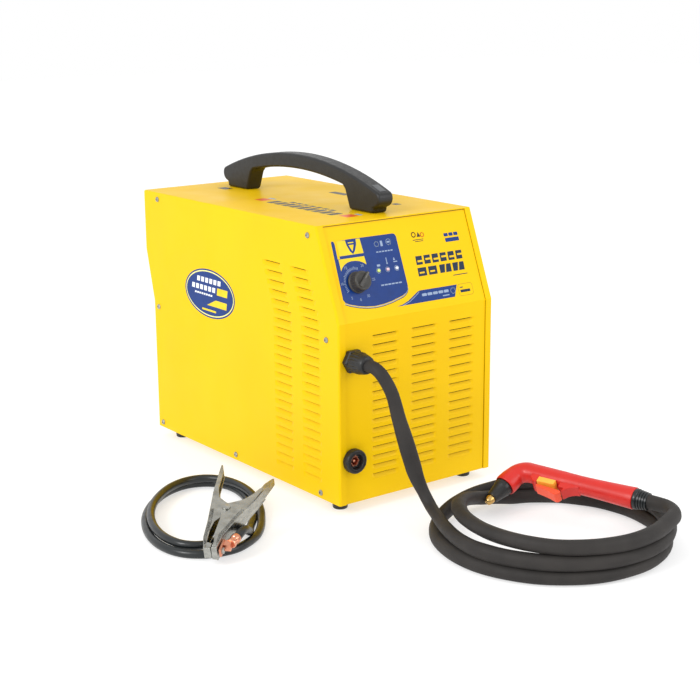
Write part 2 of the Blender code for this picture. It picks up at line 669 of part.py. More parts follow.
# ---------------------------------------------------------------- rear fittings
def make_mains_switch():
    """Rocker switch beside the mains gland; the rocker tips about an upright axis."""
    face = FRONT_Y + CASE_LENGTH + REAR_BULGE - SHEET - GAP
    centre = Vector((SWITCH_X, face, REAR_FITTING_HEIGHT))
    bezel = box(centre + Vector((-0.0160, GAP, -0.0135)), centre + Vector((0.0160, 0.0028, 0.0135)))
    frame = add_object("mains_switch_frame", bezel, "black_plastic")
    barrel = box(centre + Vector((-0.0134, -0.022, -0.0109)), centre + Vector((0.0134, 0.0015, 0.0109)))
    combine(frame, barrel, "UNION")
    pocket = box(centre + Vector((-0.0118, -0.014, -0.0093)), centre + Vector((0.0118, 0.006, 0.0093)))
    combine(frame, pocket)
    outline = [(-0.0105, -0.0020), (-0.0098, 0.0060), (0.0, 0.0038), (0.0098, 0.0014),
               (0.0088, -0.0050), (0.0, -0.0090)]
    axis_point = centre + Vector((0, -0.002, 0))
    rocker = prism(outline, "Z", -0.0088, 0.0088)
    rocker.transform(Matrix.Translation(axis_point))
    add_object("mains_switch_rocker", rocker, "red_plastic", origin=axis_point)


def make_mains_gland():
    """Inlet gland of the mains lead."""
    face = FRONT_Y + CASE_LENGTH + REAR_BULGE - SHEET - GAP
    reach = REAR_REACH + SHEET + GAP
    profile = [(0, -0.016), (0.0100, -0.016), (0.0100, GAP), (0.0135, GAP), (0.0135, 0.0080),
               (0.0115, 0.0100), (0.0105, reach - 0.002), (0.0085, reach), (0.0045, reach),
               (0.0045, reach - 0.012), (0, reach - 0.012)]
    gland = turned(profile, MEDIUM_SEGMENTS, "Y", (MAINS_GLAND_X, face, REAR_FITTING_HEIGHT))
    add_object("mains_gland", gland, "black_plastic", smooth=35)


def make_fan():
    """Square axial fan behind the grille, blowing through the case."""
    back = FRONT_Y + CASE_LENGTH - 2 * (SHEET + GAP) - SHEET - GAP
    front = back - FAN_DEPTH
    half = FAN_SIZE / 2
    frame = add_object("fan_frame", box((-half, front, FAN_HEIGHT - half), (half, back, FAN_HEIGHT + half)),
                       "black_plastic")
    throat = turned([(0, -0.01), (0.0565, -0.01), (0.0565, FAN_DEPTH + 0.01), (0, FAN_DEPTH + 0.01)],
                    LARGE_SEGMENTS, "Y", (0, front, FAN_HEIGHT))
    combine(frame, throat)
    combine(frame, box((-0.058, front, FAN_HEIGHT - 0.002), (0.058, front + 0.004, FAN_HEIGHT + 0.002)),
            "UNION")
    combine(frame, box((-0.002, front, FAN_HEIGHT - 0.058), (0.002, front + 0.004, FAN_HEIGHT + 0.058)),
            "UNION")
    centre = Vector((0, front + FAN_DEPTH / 2 + 0.002, FAN_HEIGHT))
    hub = turned([(0, -0.008), (0.020, -0.008), (0.020, 0.008), (0, 0.008)], MEDIUM_SEGMENTS, "Y", centre)
    rotor = add_object("fan_rotor", hub, "black_plastic", origin=centre, smooth=35)
    for index in range(7):
        blade = box((0.018, -0.0009, -0.010), (0.053, 0.0009, 0.010))
        blade.transform(Matrix.Rotation(2 * math.pi * index / 7, 4, "Y")
                        @ Matrix.Rotation(math.radians(62), 4, "X"))
        combine(rotor, blade, "UNION")


# ---------------------------------------------------------------- inside the case
def make_compressor():
    """Piston compressor: a motor lying across the tray and its finned cylinder head."""
    floor = FLOOR_OF_CASE + SHEET + GAP
    centre = at(0.030, 0.150, floor + 0.046)
    motor = turned([(0, -0.062), (0.034, -0.062), (0.038, -0.056), (0.038, 0.056), (0.034, 0.062),
                    (0, 0.062)], MEDIUM_SEGMENTS, "X", centre)
    motor_object = add_object("compressor_motor", motor, "cast_grey", smooth=35)
    combine(motor_object, box(centre + Vector((-0.050, -0.030, -0.046)),
                              centre + Vector((0.050, 0.030, -0.020))), "UNION")
    crank = Vector((centre.x - 0.085, centre.y, centre.z))
    head = box(crank + Vector((-0.020, -0.028, -0.046)), crank + Vector((0.0225, 0.028, 0.050)))
    head_object = add_object("compressor_head", head, "bare_aluminium")
    fins = [box(crank + Vector((-0.030, -0.036, 0.054 + 0.009 * k)),
                crank + Vector((0.030, 0.036, 0.058 + 0.009 * k))) for k in range(4)]
    combine(head_object, box(crank + Vector((-0.020, -0.026, 0.045)),
                             crank + Vector((0.0225, 0.026, 0.092))), "UNION")
    combine(head_object, merged(fins), "UNION")


def make_power_stage():
    """Upright power board with its capacitors and transformer, on a finned heatsink."""
    floor = FLOOR_OF_CASE + SHEET + GAP
    low = at(0.020, 0.250, floor + 0.004)
    board = add_object("power_board", box(low, low + Vector((0.002, 0.180, 0.210))), "circuit_board")
    for k in range(3):
        centre = low + Vector((0.001, 0.035 + 0.045 * k, 0.165))
        can = turned([(0, 0), (0.016, 0), (0.016, 0.040), (0, 0.040)], MEDIUM_SEGMENTS)
        can.transform(Matrix.Translation(centre) @ Matrix.Rotation(math.radians(-90), 4, "Y"))
        combine(board, can, "UNION")
    coil = box(low + Vector((-0.055, 0.050, 0.020)), low + Vector((0.001, 0.120, 0.095)))
    combine(board, coil, "UNION")
    base = low + Vector((0.002 + GAP, 0.010, 0.020))
    sink = add_object("heatsink", box(base, base + Vector((0.008, 0.160, 0.170))), "bare_aluminium")
    fins = [box(base + Vector((0.007, 0.004 + 0.0165 * k, 0)),
                base + Vector((0.045, 0.0065 + 0.0165 * k, 0.170))) for k in range(10)]
    combine(sink, merged(fins), "UNION")


def make_control_board():
    """Small board behind the sloping panel that carries the dial's potentiometer."""
    place = slope_matrix(0.0, 0.0)
    plate = box((-0.132, 0.015, -0.028), (-0.005, 0.110, -0.0265))
    plate.transform(place)
    board = add_object("control_board", plate, "circuit_board")
    pot = turned([(0, -0.027), (0.0085, -0.027), (0.0085, -0.0135), (0, -0.0135)], MEDIUM_SEGMENTS)
    pot.transform(slope_matrix(KNOB_X, KNOB_UP_SLOPE))
    combine(board, pot, "UNION")


# ---------------------------------------------------------------- torch
def torch_empty():
    """Frame of the torch: +X along the grip, +Z out of its back, zero at the elbow."""
    elbow, tail, tip = at(*TORCH_ELBOW), at(*TORCH_TAIL), at(*TORCH_TIP)
    along = (tail - elbow).normalized()
    head = (tip - elbow).normalized()
    back = -(head - along * head.dot(along)).normalized()
    side = back.cross(along)
    frame = bpy.data.objects.new("torch_frame", None)
    bpy.context.scene.collection.objects.link(frame)
    frame.matrix_world = Matrix.Translation(elbow) @ Matrix((along, side, back)).transposed().to_4x4()
    bend = math.atan2(-head.dot(back), head.dot(along))
    return frame, (tail - elbow).length, (tip - elbow).length, bend


def torch_section(centre, direction, half_width, half_height, count=16):
    """An oval ring square to a direction in the torch's XZ plane."""
    direction = direction.normalized()
    upward = Vector((-direction.z, 0, direction.x))
    return [centre + Vector((0, half_width * math.cos(a), 0)) + upward * (half_height * math.sin(a))
            for a in np.linspace(0, 2 * math.pi, count, endpoint=False)]


def torch_grip_skin(grip_length, bend):
    """Moulded head, elbow and grip as one skin."""
    head = Vector((math.cos(bend), 0, -math.sin(bend)))
    elbow_radius = 0.020
    tangent = elbow_radius / math.tan(bend / 2)
    rings = []
    for distance, half in ((HEAD_LENGTH, 0.0165), (0.029, 0.0168), (tangent + 0.001, 0.0158)):
        rings.append(torch_section(head * distance, -head, half * 0.94, half))
    centre = Vector((tangent, 0, -elbow_radius))
    for angle in np.linspace(math.pi - bend, 0, 6)[1:-1]:
        direction = Vector((math.cos(angle), 0, math.sin(angle)))
        point = centre + Vector((-math.sin(angle), 0, math.cos(angle))) * elbow_radius
        rings.append(torch_section(point, direction, 0.0142, 0.0152))
    forward = Vector((1, 0, 0))
    stations = ((tangent + 0.004, 0.0138, 0.0146), (0.055, 0.0135, 0.0145), (0.095, 0.0132, 0.0135),
                (0.125, 0.0136, 0.0138), (0.155, 0.0145, 0.0148), (grip_length, 0.0152, 0.0160))
    for x, half_width, half_height in stations:
        rings.append(torch_section(Vector((x, 0, 0)), forward, half_width, half_height))
    return rings


def make_torch():
    """Torch lying across the coil: two grip halves, trigger, safety slide, cup and nozzle."""
    frame, grip_length, tip_distance, bend = torch_empty()
    head = Vector((math.cos(bend), 0, -math.sin(bend)))
    guard = [(0.0320, -0.010), (0.0320, -0.0215), (0.0405, -0.0240), (0.0730, -0.0300), (0.0825, -0.0290),
             (0.0870, -0.0225), (0.0950, -0.0155), (0.0950, -0.006)]
    pocket = [(0.0400, -0.0125), (0.0400, -0.040), (0.0810, -0.045), (0.0810, -0.0200), (0.0720, -0.0200),
              (0.0720, -0.0125)]
    for side, word in ((-1, "left"), (1, "right")):
        half = add_object(f"torch_grip_{word}", loft(torch_grip_skin(grip_length, bend)), "red_plastic",
                          parent=frame, smooth=50)
        combine(half, prism(guard, "Y", -0.0112, 0.0112), "UNION")
        combine(half, prism(pocket, "Y", -0.03, 0.03))
        low, high = sorted((side * GAP / 2, -side * 0.06))
        combine(half, box((-0.08, low, -0.08), (0.25, high, 0.08)))

    pivot = Vector((0.0425, 0, -0.0245))
    trigger = [(0.0405, -0.0236), (0.0720, -0.0252), (0.0803, -0.0262), (0.0803, -0.0300),
               (0.0740, -0.0350), (0.0640, -0.0318), (0.0540, -0.0300), (0.0405, -0.0285)]
    add_object("torch_trigger", prism(trigger, "Y", -0.0085, 0.0085), "orange_plastic", origin=pivot,
               parent=frame)
    slide = [(0.0404, -0.0129), (0.0404, -0.0220), (0.0670, -0.0215), (0.0670, -0.0129)]
    add_object("torch_safety_slide", prism(slide, "Y", -0.0125, 0.0125), "amber_plastic", parent=frame)

    def on_head(profile, segments, name, mat_name):
        bm = turned(profile, segments)
        bm.transform(head.to_track_quat("Z", "Y").to_matrix().to_4x4())
        add_object(name, bm, mat_name, parent=frame, smooth=35)

    cup_start = HEAD_LENGTH + GAP
    cup_end = cup_start + CUP_LENGTH
    on_head([(0, cup_start), (0.0136, cup_start), (0.0134, cup_start + 0.006),
             (0.0086, cup_end), (0, cup_end)], MEDIUM_SEGMENTS, "torch_shield_cup", "black_plastic")
    on_head([(0, cup_end + GAP), (0.0064, cup_end + GAP), (0.0064, tip_distance - 0.005),
             (0.0042, tip_distance), (0, tip_distance)], SMALL_SEGMENTS, "torch_nozzle", "brass")
    start = grip_length + GAP
    boot = turned([(0, start), (0.0145, start), (0.0140, start + 0.005), (0.0118, start + 0.020),
                   (0, start + 0.020)], MEDIUM_SEGMENTS, "X")
    add_object("torch_strain_relief", boot, "black_rubber", parent=frame, smooth=35)
    turn = frame.matrix_world.to_3x3()
    return frame.matrix_world @ Vector((start + 0.020 + GAP, 0, 0)), turn @ Vector((1, 0, 0))


def torch_drop_route():
    """From the gland, out and down in front of the louvres to the coil."""
    return [at(FITTING_X, -0.042, GLAND_HEIGHT), at(-0.1205, -0.052, 0.2280),
            at(-0.117, -0.064, 0.2190), at(-0.109, -0.075, 0.194), at(-0.103, -0.083, 0.158),
            at(-0.097, -0.089, 0.129), at(-0.091, -0.095, 0.100), at(-0.086, -0.101, 0.0755),
            at(-0.0790, -0.109, 0.0540), at(-0.0740, -0.1170, 0.0370)]


def make_torch_cable(strain_relief_end, strain_relief_axis):
    """The drop from the gland, the two lower turns as one ring, and the top turn to the torch."""
    spacing = 2.4 * TORCH_CABLE_RADIUS
    mouth = at(FITTING_X, -GLAND_REACH - GAP, GLAND_HEIGHT)
    cable("torch_cable", [mouth] + smooth_route(torch_drop_route(), spacing), TORCH_CABLE_RADIUS,
          "cable_sleeve", 3)

    half = 0.014
    level = COIL_HEIGHT / 2
    section = [(-half + 0.004, GAP), (half - 0.002, GAP), (half, 0.004), (half, level), (half - 0.004,
               COIL_HEIGHT - 0.003), (half - 0.008, COIL_HEIGHT), (-half + 0.003, COIL_HEIGHT),
               (-half, COIL_HEIGHT - 0.004), (-half, level), (-half + 0.001, 0.003)]
    ring = turned([(COIL_RADIUS + offset, height) for offset, height in section], 48,
                  centre=at(*COIL_CENTRE, 0), closed=True)
    add_object("torch_coil", ring, "cable_sleeve", smooth=40)

    angles = np.radians(np.arange(150.0, 300.1, 15.0))
    route = [at(TOP_TURN_CENTRE[0] + TOP_TURN_RADIUS * math.cos(a),
                TOP_TURN_CENTRE[1] + TOP_TURN_RADIUS * math.sin(a), TOP_TURN_HEIGHT) for a in angles]
    leaving = strain_relief_end + strain_relief_axis * 0.004
    route += [leaving + strain_relief_axis * 0.018, leaving]
    cable("torch_cable_end", smooth_route(route, spacing) + [strain_relief_end], TORCH_CABLE_RADIUS,
          "cable_sleeve", 3)


# ---------------------------------------------------------------- earth lead
def oval_point(angle, inset=0.0):
    """A point of the oval coil's centre line, on the floor."""
    along = Vector((math.cos(OVAL_HEADING), math.sin(OVAL_HEADING)))
    across = Vector((-along.y, along.x))
    point = (Vector(OVAL_CENTRE) + along * ((OVAL_OUTER[0] - inset) * math.cos(angle))
             + across * ((OVAL_OUTER[1] - inset) * math.sin(angle)))
    return at(point.x, point.y, 0)


def make_earth_coil():
    """Two turns of earth cable lying on each other, as one oval ring."""
    radius = EARTH_CABLE_RADIUS
    section = [(-radius, radius), (-0.004, 0.0012), (0.0, GAP), (0.005, GAP), (radius, 0.006),
               (0.004, 0.012), (-0.002, 0.019), (-0.006, OVAL_HEIGHT), (-0.009, OVAL_HEIGHT),
               (-0.013, 0.017), (-0.012, 0.012)]
    rings = []
    for k in range(48):
        angle = 2 * math.pi * k / 48
        rings.append([oval_point(angle, -offset) + Vector((0, 0, height)) for offset, height in section])
    bm = bmesh.new()
    loops = [[bm.verts.new(p) for p in ring] for ring in rings]
    for first, second in zip(loops, loops[1:] + loops[:1]):
        for k in range(len(section)):
            n = (k + 1) % len(section)
            bm.faces.new((first[k], first[n], second[n], second[k]))
    add_object("earth_coil", bm, "black_rubber", smooth=50)


def clamp_empty():
    """Frame of the clamp: +X from the jaw tips to the handles, +Y to the left arm, +Z out of its side."""
    frame = bpy.data.objects.new("clamp_frame", None)
    bpy.context.scene.collection.objects.link(frame)
    turn = Matrix.Rotation(CLAMP_HEADING, 4, "Z") @ Matrix.Rotation(-CLAMP_TILT, 4, "Y")
    frame.matrix_world = Matrix.Translation(at(*CLAMP_TIP)) @ turn
    return frame


def clamp_spine(outer, side):
    """A folded strip along one arm's outer edge, jaw tip to handle end."""
    inner = offset_line(outer, side * CLAMP_SHEET)
    return outer + inner[::-1]


def make_clamp_arm(name, side, half_width, frame, pivot):
    """One stamped arm: a folded outer strip, two cheeks at the pivot and a toothed jaw."""
    outer, cheek_outline = CLAMP_ARMS[name]
    arm = add_object(name, prism(clamp_spine(outer, side), "Z", -half_width, half_width), "zinc_steel",
                     origin=pivot, parent=frame)
    shift = Matrix.Translation(-pivot)
    for face in (-1, 1):
        low, high = sorted((face * half_width, face * (half_width - CLAMP_SHEET)))
        cheek = prism(cheek_outline, "Z", low, high)
        cheek.transform(shift)
        combine(arm, cheek, "UNION")
    root = abs(outer[0][1]) - CLAMP_SHEET / 2
    teeth = [(CLAMP_JAW + 0.0005 + 0.0025 * k, side * (0.0004 if k % 2 == 0 else 0.0018))
             for k in range(5)]
    heel = CLAMP_JAW + 0.0130
    tooth_outline = ([(teeth[0][0], side * root)] + teeth
                     + [(heel, side * 0.0060), (heel, side * root)])
    jaw = prism(tooth_outline, "Z", -half_width + 0.0008, half_width - 0.0008)
    jaw.transform(shift)
    combine(arm, jaw, "UNION")
    hole = turned([(0, -0.02), (0.0033, -0.02), (0.0033, 0.02), (0, 0.02)], SMALL_SEGMENTS)
    combine(arm, hole)


def make_earth_clamp():
    """Spring clamp: two arms on a rivet, a torsion spring and the cable lug."""
    frame = clamp_empty()
    pivot = Vector((CLAMP_PIVOT, 0, 0))
    make_clamp_arm("clamp_fixed_arm", -1, 0.0110, frame, pivot)
    make_clamp_arm("clamp_moving_arm", 1, 0.0090, frame, pivot)
    pin = turned([(0, -0.0135), (0.0055, -0.0130), (0.0055, -0.0114), (0.0030, -0.0113),
                  (0.0030, 0.0113), (0.0055, 0.0114), (0.0055, 0.0130), (0, 0.0135)],
                 SMALL_SEGMENTS, centre=pivot)
    add_object("clamp_pivot_rivet", pin, "zinc_steel", parent=frame, smooth=35)

    turns, wire, pitch, spring_radius = 4.5, 0.0009, 0.0023, 0.0048
    count = int(turns * 12)
    helix = [Vector((CLAMP_PIVOT + spring_radius * math.cos(2 * math.pi * k / 12),
                     spring_radius * math.sin(2 * math.pi * k / 12),
                     (k / 12 - turns / 2) * pitch)) for k in range(count + 1)]
    spring = cable("clamp_spring", helix, wire, "zinc_steel", 1)
    spring.parent = frame

    near, far = LUG_BARREL
    lug = turned([(0, near), (0.0070, near), (0.0070, far), (0, far)], MEDIUM_SEGMENTS)
    heading = Vector((math.cos(LUG_SPLAY), -math.sin(LUG_SPLAY), 0))
    foot = Vector(LUG_FOOT)
    lug.transform(Matrix.Translation(foot) @ heading.to_track_quat("Z", "Y").to_matrix().to_4x4())
    lug_object = add_object("clamp_cable_lug", lug, "copper", parent=frame, smooth=35)
    tongue = box(foot + Vector((-0.013, 0.0058, -0.0060)), foot + Vector((0.009, 0.0086, 0.0060)))
    heel = box(foot + Vector((-0.002, -0.0040, -0.0050)), foot + Vector((0.009, 0.0065, 0.0050)))
    combine(lug_object, tongue, "UNION")
    combine(lug_object, heel, "UNION")
    return frame.matrix_world @ (foot + heading * (far + GAP)), frame.matrix_world.to_3x3() @ heading


def make_earth_plug():
    """Bayonet plug of the earth lead, lying under the clamp."""
    heading = Vector((math.cos(PLUG_HEADING), math.sin(PLUG_HEADING), 0))
    start = at(*PLUG_REAR, PLUG_RADIUS + GAP)
    profile = [(0, 0), (0.0085, 0), (0.0095, 0.010), (PLUG_RADIUS, 0.016), (PLUG_RADIUS, 0.043),
               (0.0110, 0.046), (0.0060, 0.046), (0.0060, PLUG_LENGTH - 0.001), (0.0050, PLUG_LENGTH),
               (0, PLUG_LENGTH)]
    plug = turned(profile, MEDIUM_SEGMENTS)
    plug.transform(Matrix.Translation(start) @ heading.to_track_quat("Z", "Y").to_matrix().to_4x4())
    add_object("earth_plug", plug, "black_rubber", smooth=35)
    return start, heading


def make_earth_lead():
    """The clamp, its coiled cable and the plug on the other end."""
    make_earth_coil()
    lug_end, lug_heading = make_earth_clamp()
    spacing = 1.5 * EARTH_CABLE_RADIUS
    level = EARTH_CABLE_RADIUS + GAP
    leaving = lug_end + lug_heading * 0.004
    route = [leaving, leaving + lug_heading * 0.006, at(-0.3230, -0.0270, 0.0290),
             at(-0.3090, -0.0150, 0.0160), at(-0.2960, -0.0020, 0.0078), at(-0.2849, 0.0085, level),
             at(-0.2664, 0.0250, level), at(-0.2500, 0.0440, level)]
    cable("earth_cable_clamp_end", [lug_end] + smooth_route(route, spacing), EARTH_CABLE_RADIUS,
          "black_rubber")

    plug_start, plug_heading = make_earth_plug()
    entering = plug_start - plug_heading * 0.004
    route = [at(-0.3590, 0.0165, level + 0.001), at(-0.3480, 0.0165, level + 0.003),
             entering - plug_heading * 0.006, entering]
    cable("earth_cable_plug_end", smooth_route(route, spacing) + [plug_start - plug_heading * GAP],
          EARTH_CABLE_RADIUS, "black_rubber")


def build():
    clear_scene()
    make_base_tray()
    make_front_panel()
    make_rear_panel()
    make_cover()
    make_feet()
    make_cover_screws()
    make_carry_handle()
    make_current_knob()
    make_indicators()
    make_torch_gland()
    make_earth_socket()
    make_mains_switch()
    make_mains_gland()
    make_fan()
    make_compressor()
    make_power_stage()
    make_control_board()
    strain_relief_end, strain_relief_axis = make_torch()
    make_torch_cable(strain_relief_end, strain_relief_axis)
    make_earth_lead()


build()
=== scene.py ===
"""Visual model of the portable plasma cutter, made round its CAD frame.

Units are metres, in the CAD frame: +Z up, front panel facing -Y, +X to the right seen from the
front. Points given as (x, behind, height) are measured from the case front and the floor.
"""
import json
import math

import bmesh
import bpy
import numpy as np
from mathutils import Matrix, Vector, noise


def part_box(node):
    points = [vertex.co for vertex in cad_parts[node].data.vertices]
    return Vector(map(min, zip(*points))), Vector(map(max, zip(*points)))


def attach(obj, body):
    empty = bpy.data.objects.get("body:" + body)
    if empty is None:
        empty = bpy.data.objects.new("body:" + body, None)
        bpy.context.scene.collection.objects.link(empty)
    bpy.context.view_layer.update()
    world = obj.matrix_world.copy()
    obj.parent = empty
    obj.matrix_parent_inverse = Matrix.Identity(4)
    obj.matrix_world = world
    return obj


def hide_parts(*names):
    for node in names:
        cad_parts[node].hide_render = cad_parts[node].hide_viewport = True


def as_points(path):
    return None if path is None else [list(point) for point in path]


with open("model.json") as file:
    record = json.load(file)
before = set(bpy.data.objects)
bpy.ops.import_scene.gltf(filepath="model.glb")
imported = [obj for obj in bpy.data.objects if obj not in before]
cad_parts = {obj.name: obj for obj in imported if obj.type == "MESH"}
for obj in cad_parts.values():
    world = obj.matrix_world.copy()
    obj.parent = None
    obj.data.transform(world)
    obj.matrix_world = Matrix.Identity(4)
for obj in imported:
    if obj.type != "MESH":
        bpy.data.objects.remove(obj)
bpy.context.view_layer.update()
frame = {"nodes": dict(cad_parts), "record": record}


def millimetres(points):
    """Points given in millimetres, as tuples in metres."""
    return [tuple(value / 1000 for value in point) for point in points]


# ---- Camera of the photograph ----
CAMERA_LENS = 75.6           # millimetres, on a sensor 36 mm wide
CAMERA_POSITION = Vector((-1.3341, -1.85545, 0.7493))
CAMERA_TARGET = Vector((0, -0.09465, 0.19315))
CAMERA_ROLL = math.radians(-0.40)
FLOOR_REACH = 9

# ---- Case, as in the CAD ----
FRONT_Y = -0.25935
CASE_BOTTOM = 0.016
CASE_TOP = 0.416
HALF = 0.1445
FACE_RECESS = 0.0018         # panels sit this far behind the cover's flanges
SLOPE_ORIGIN = Vector((0, -0.25755, 0.28266))
SLOPE_UP = Vector((0, 0.36414, 0.93135))

# ---- Louvres, as in the CAD ----
LOUVRE_PITCH = 0.0138
LOUVRE_HEIGHT = 0.0078
FRONT_LOUVRES = {"columns": (-0.0600, 0.0123, 0.0846), "length": 0.050, "rows": 16, "low": 0.0368}
SIDE_LOUVRES = {"columns": (0.066, 0.137), "length": 0.046, "rows": 23, "low": 0.031}
SLOPE_START = 0.267          # above the case bottom
SLOPE_LEAN = 0.052 / 0.133
SCOOP_DEPTH = 0.0034
SCOOP_DROP = 0.0019          # how far the scoop's top edge stays below the slot's
SCOOP_RAMP = 0.007           # length of the sloping ends

# ---- Fittings ----
CREASE = 38                  # degrees; turned pieces keep sharper edges than this crisp
FITTING_X = -0.121
GLAND_HEIGHT = 0.229
SOCKET_HEIGHT = 0.0815
KNOB_X = -0.095
KNOB_UP_SLOPE = 0.0555
KNOB_POINTER = math.radians(-45)
HANDLE_CENTRE = 0.285

# ---- Torch ----
TORCH_ELBOW = (0.081, -0.135, 0.0595)
TORCH_TAIL = (0.131, -0.310, 0.0550)
TORCH_TIP = (0.013, -0.138, 0.0260)
HEAD_LENGTH = 0.036
CUP_LENGTH = 0.028
GAP = 0.0003
SLIDE_BED = (0.040, 0.072)    # flat under the grip where the safety slide runs
SLIDE_BED_LEVEL = -0.0124
TORCH_CABLE_DIAMETER = 0.021

# ---- Earth lead ----
EARTH_CABLE_DIAMETER = 0.012
OVAL_CENTRE = (-0.308, 0.113)
OVAL_HEADING = math.radians(57)
OVAL_OUTER = (0.135, 0.074)
CLAMP_TIP = (-0.4015, -0.0554, 0.0153)
CLAMP_HEADING = math.radians(41.5)
CLAMP_TILT = math.radians(18)
CLAMP_JAW = 0.016
CLAMP_SHEET = 0.0015
CLAMP_WALL = 0.0065          # height of an arm's side walls, and at the arm's ends
CLAMP_END_WALL = 0.0022
LUG_FOOT = Vector((0.031, -0.0190, 0))
LUG_SPLAY = math.radians(17)
# Each arm: half width at each corner of its outer edge, the outer edge from jaw to handle end, and
# its cheek plate, seen from above the clamp.
CLAMP_ARMS = {
    "moving": (
        (0.0090, 0.0090, 0.0090, 0.0090, 0.0076, 0.0060, 0.0052),
        millimetres([(16, 10), (38, 16), (69, 19), (97.5, 23), (137, 29), (185, 33.4), (202, 34.7)]),
        millimetres([(20, 10.5), (26, 8.5), (47, 11.5), (72, 9.5), (83, 3), (91.5, -5.5), (97, -7.2),
                     (104, -7), (110, -4), (114, 4), (124, 16), (137, 20.5), (150, 24), (150, 29.8),
                     (137, 28.5), (97.5, 22.5), (69, 18.5), (38, 15.5)])),
    "fixed": (
        (0.0110, 0.0110, 0.0110, 0.0110, 0.0090, 0.0066, 0.0054),
        millimetres([(16, -8.5), (41, -10), (72, -19), (97.5, -27), (124, -35), (162, -44.5),
                     (177, -48.2)]),
        millimetres([(20, -8.2), (20, -2), (26, -2), (44, 2), (83, 3), (92.5, 7), (98, 8.2), (104, 7.8),
                     (109, 4), (112, -4), (120, -19), (133, -29), (146, -35), (150, -41), (124, -34.5),
                     (97.5, -26.5), (72, -18.5), (41, -9.5)])),
}
PLUG_REAR = (-0.326, 0.034)
PLUG_HEADING = math.radians(50)
PLUG_RADIUS = 0.014


def at(x, behind_front, height):
    """World position from the distance behind the case front and the height above the floor."""
    return Vector((x, FRONT_Y + behind_front, height))


def places(points):
    """World positions of points given in millimetres as (x, behind the front, height)."""
    return [at(*point) for point in millimetres(points)]


# ---------------------------------------------------------------- camera, light and floor
def aim(obj, target):
    """Turn a light towards a point."""
    obj.rotation_mode = "QUATERNION"
    obj.rotation_quaternion = (Vector(target) - obj.location).to_track_quat("-Z", "Y")


def make_camera():
    """Camera looking at the front left corner, rolled a little as in the photograph."""
    data = bpy.data.cameras.new("camera")
    data.lens = CAMERA_LENS
    data.sensor_width = 36.0
    data.clip_end = 50.0
    camera = bpy.data.objects.new("camera", data)
    bpy.context.scene.collection.objects.link(camera)
    back = (CAMERA_POSITION - CAMERA_TARGET).normalized()
    right = Vector((0, 0, 1)).cross(back).normalized()
    upward = back.cross(right)
    turned_right = right * math.cos(CAMERA_ROLL) + upward * math.sin(CAMERA_ROLL)
    turned_up = upward * math.cos(CAMERA_ROLL) - right * math.sin(CAMERA_ROLL)
    turn = Matrix((turned_right, turned_up, back)).transposed().to_4x4()
    camera.matrix_world = Matrix.Translation(CAMERA_POSITION) @ turn
    bpy.context.scene.camera = camera


def area_light(name, location, target, size, power):
    """A round soft light aimed at a point."""
    data = bpy.data.lights.new(name, "AREA")
    data.shape = "DISK"
    data.size = size
    data.energy = power
    light = bpy.data.objects.new(name, data)
    bpy.context.scene.collection.objects.link(light)
    light.location = location
    aim(light, target)


def make_studio():
    """White surround, a large soft key light from the left and a weak fill on the front."""
    world = bpy.data.worlds.new("studio")
    world.use_nodes = True
    background = world.node_tree.nodes["Background"]
    background.inputs["Color"].default_value = (1, 1, 1, 1)
    background.inputs["Strength"].default_value = 1.0
    bpy.context.scene.world = world
    bpy.context.scene.view_settings.view_transform = "Standard"
    area_light("key", (-3.2, -0.5, 2.0), (0, 0, 0.2), 1.4, 64)
    area_light("fill", (1.2, -3.0, 1.6), (0, -0.2, 0.2), 1.8, 28)

    bm = bmesh.new()
    bm.faces.new([bm.verts.new((x * FLOOR_REACH, y * FLOOR_REACH, 0))
                  for x, y in ((-1, -1), (1, -1), (1, 1), (-1, 1))])
    mesh = bpy.data.meshes.new("floor")
    bm.to_mesh(mesh)
    bm.free()
    white = surface("floor_white", (190, 190, 190), 0.9, other=(190, 190, 190), grain=0.0, specular=0.0)
    glow = white.node_tree.nodes["Principled BSDF"]
    glow.inputs["Emission Color"].default_value = (1, 1, 1, 1)
    glow.inputs["Emission Strength"].default_value = 0.55
    mesh.materials.append(white)
    floor = bpy.data.objects.new("floor", mesh)
    bpy.context.scene.collection.objects.link(floor)


# ---------------------------------------------------------------- materials
def linear(colour):
    """A colour given as 0-255 display values, as the shader needs it."""
    def channel(value):
        value /= 255
        return value / 12.92 if value <= 0.04045 else ((value + 0.055) / 1.055) ** 2.4
    return (*(channel(value) for value in colour), 1.0)


def add_node(tree, kind, **inputs):
    """A shader node with some of its inputs set, spaces in their names written as underscores."""
    node = tree.nodes.new(kind)
    for name, value in inputs.items():
        node.inputs[name.replace("_", " ")].default_value = value
    return node


def map_noise(tree, vector, scale, low, high, detail=2.0):
    """Noise from the coordinates, as values between low and high."""
    texture = add_node(tree, "ShaderNodeTexNoise", Scale=scale, Detail=detail)
    tree.links.new(vector, texture.inputs["Vector"])
    spread = add_node(tree, "ShaderNodeMapRange", From_Min=0.3, From_Max=0.7, To_Min=low, To_Max=high)
    tree.links.new(texture.outputs["Fac"], spread.inputs["Value"])
    return spread.outputs["Result"]


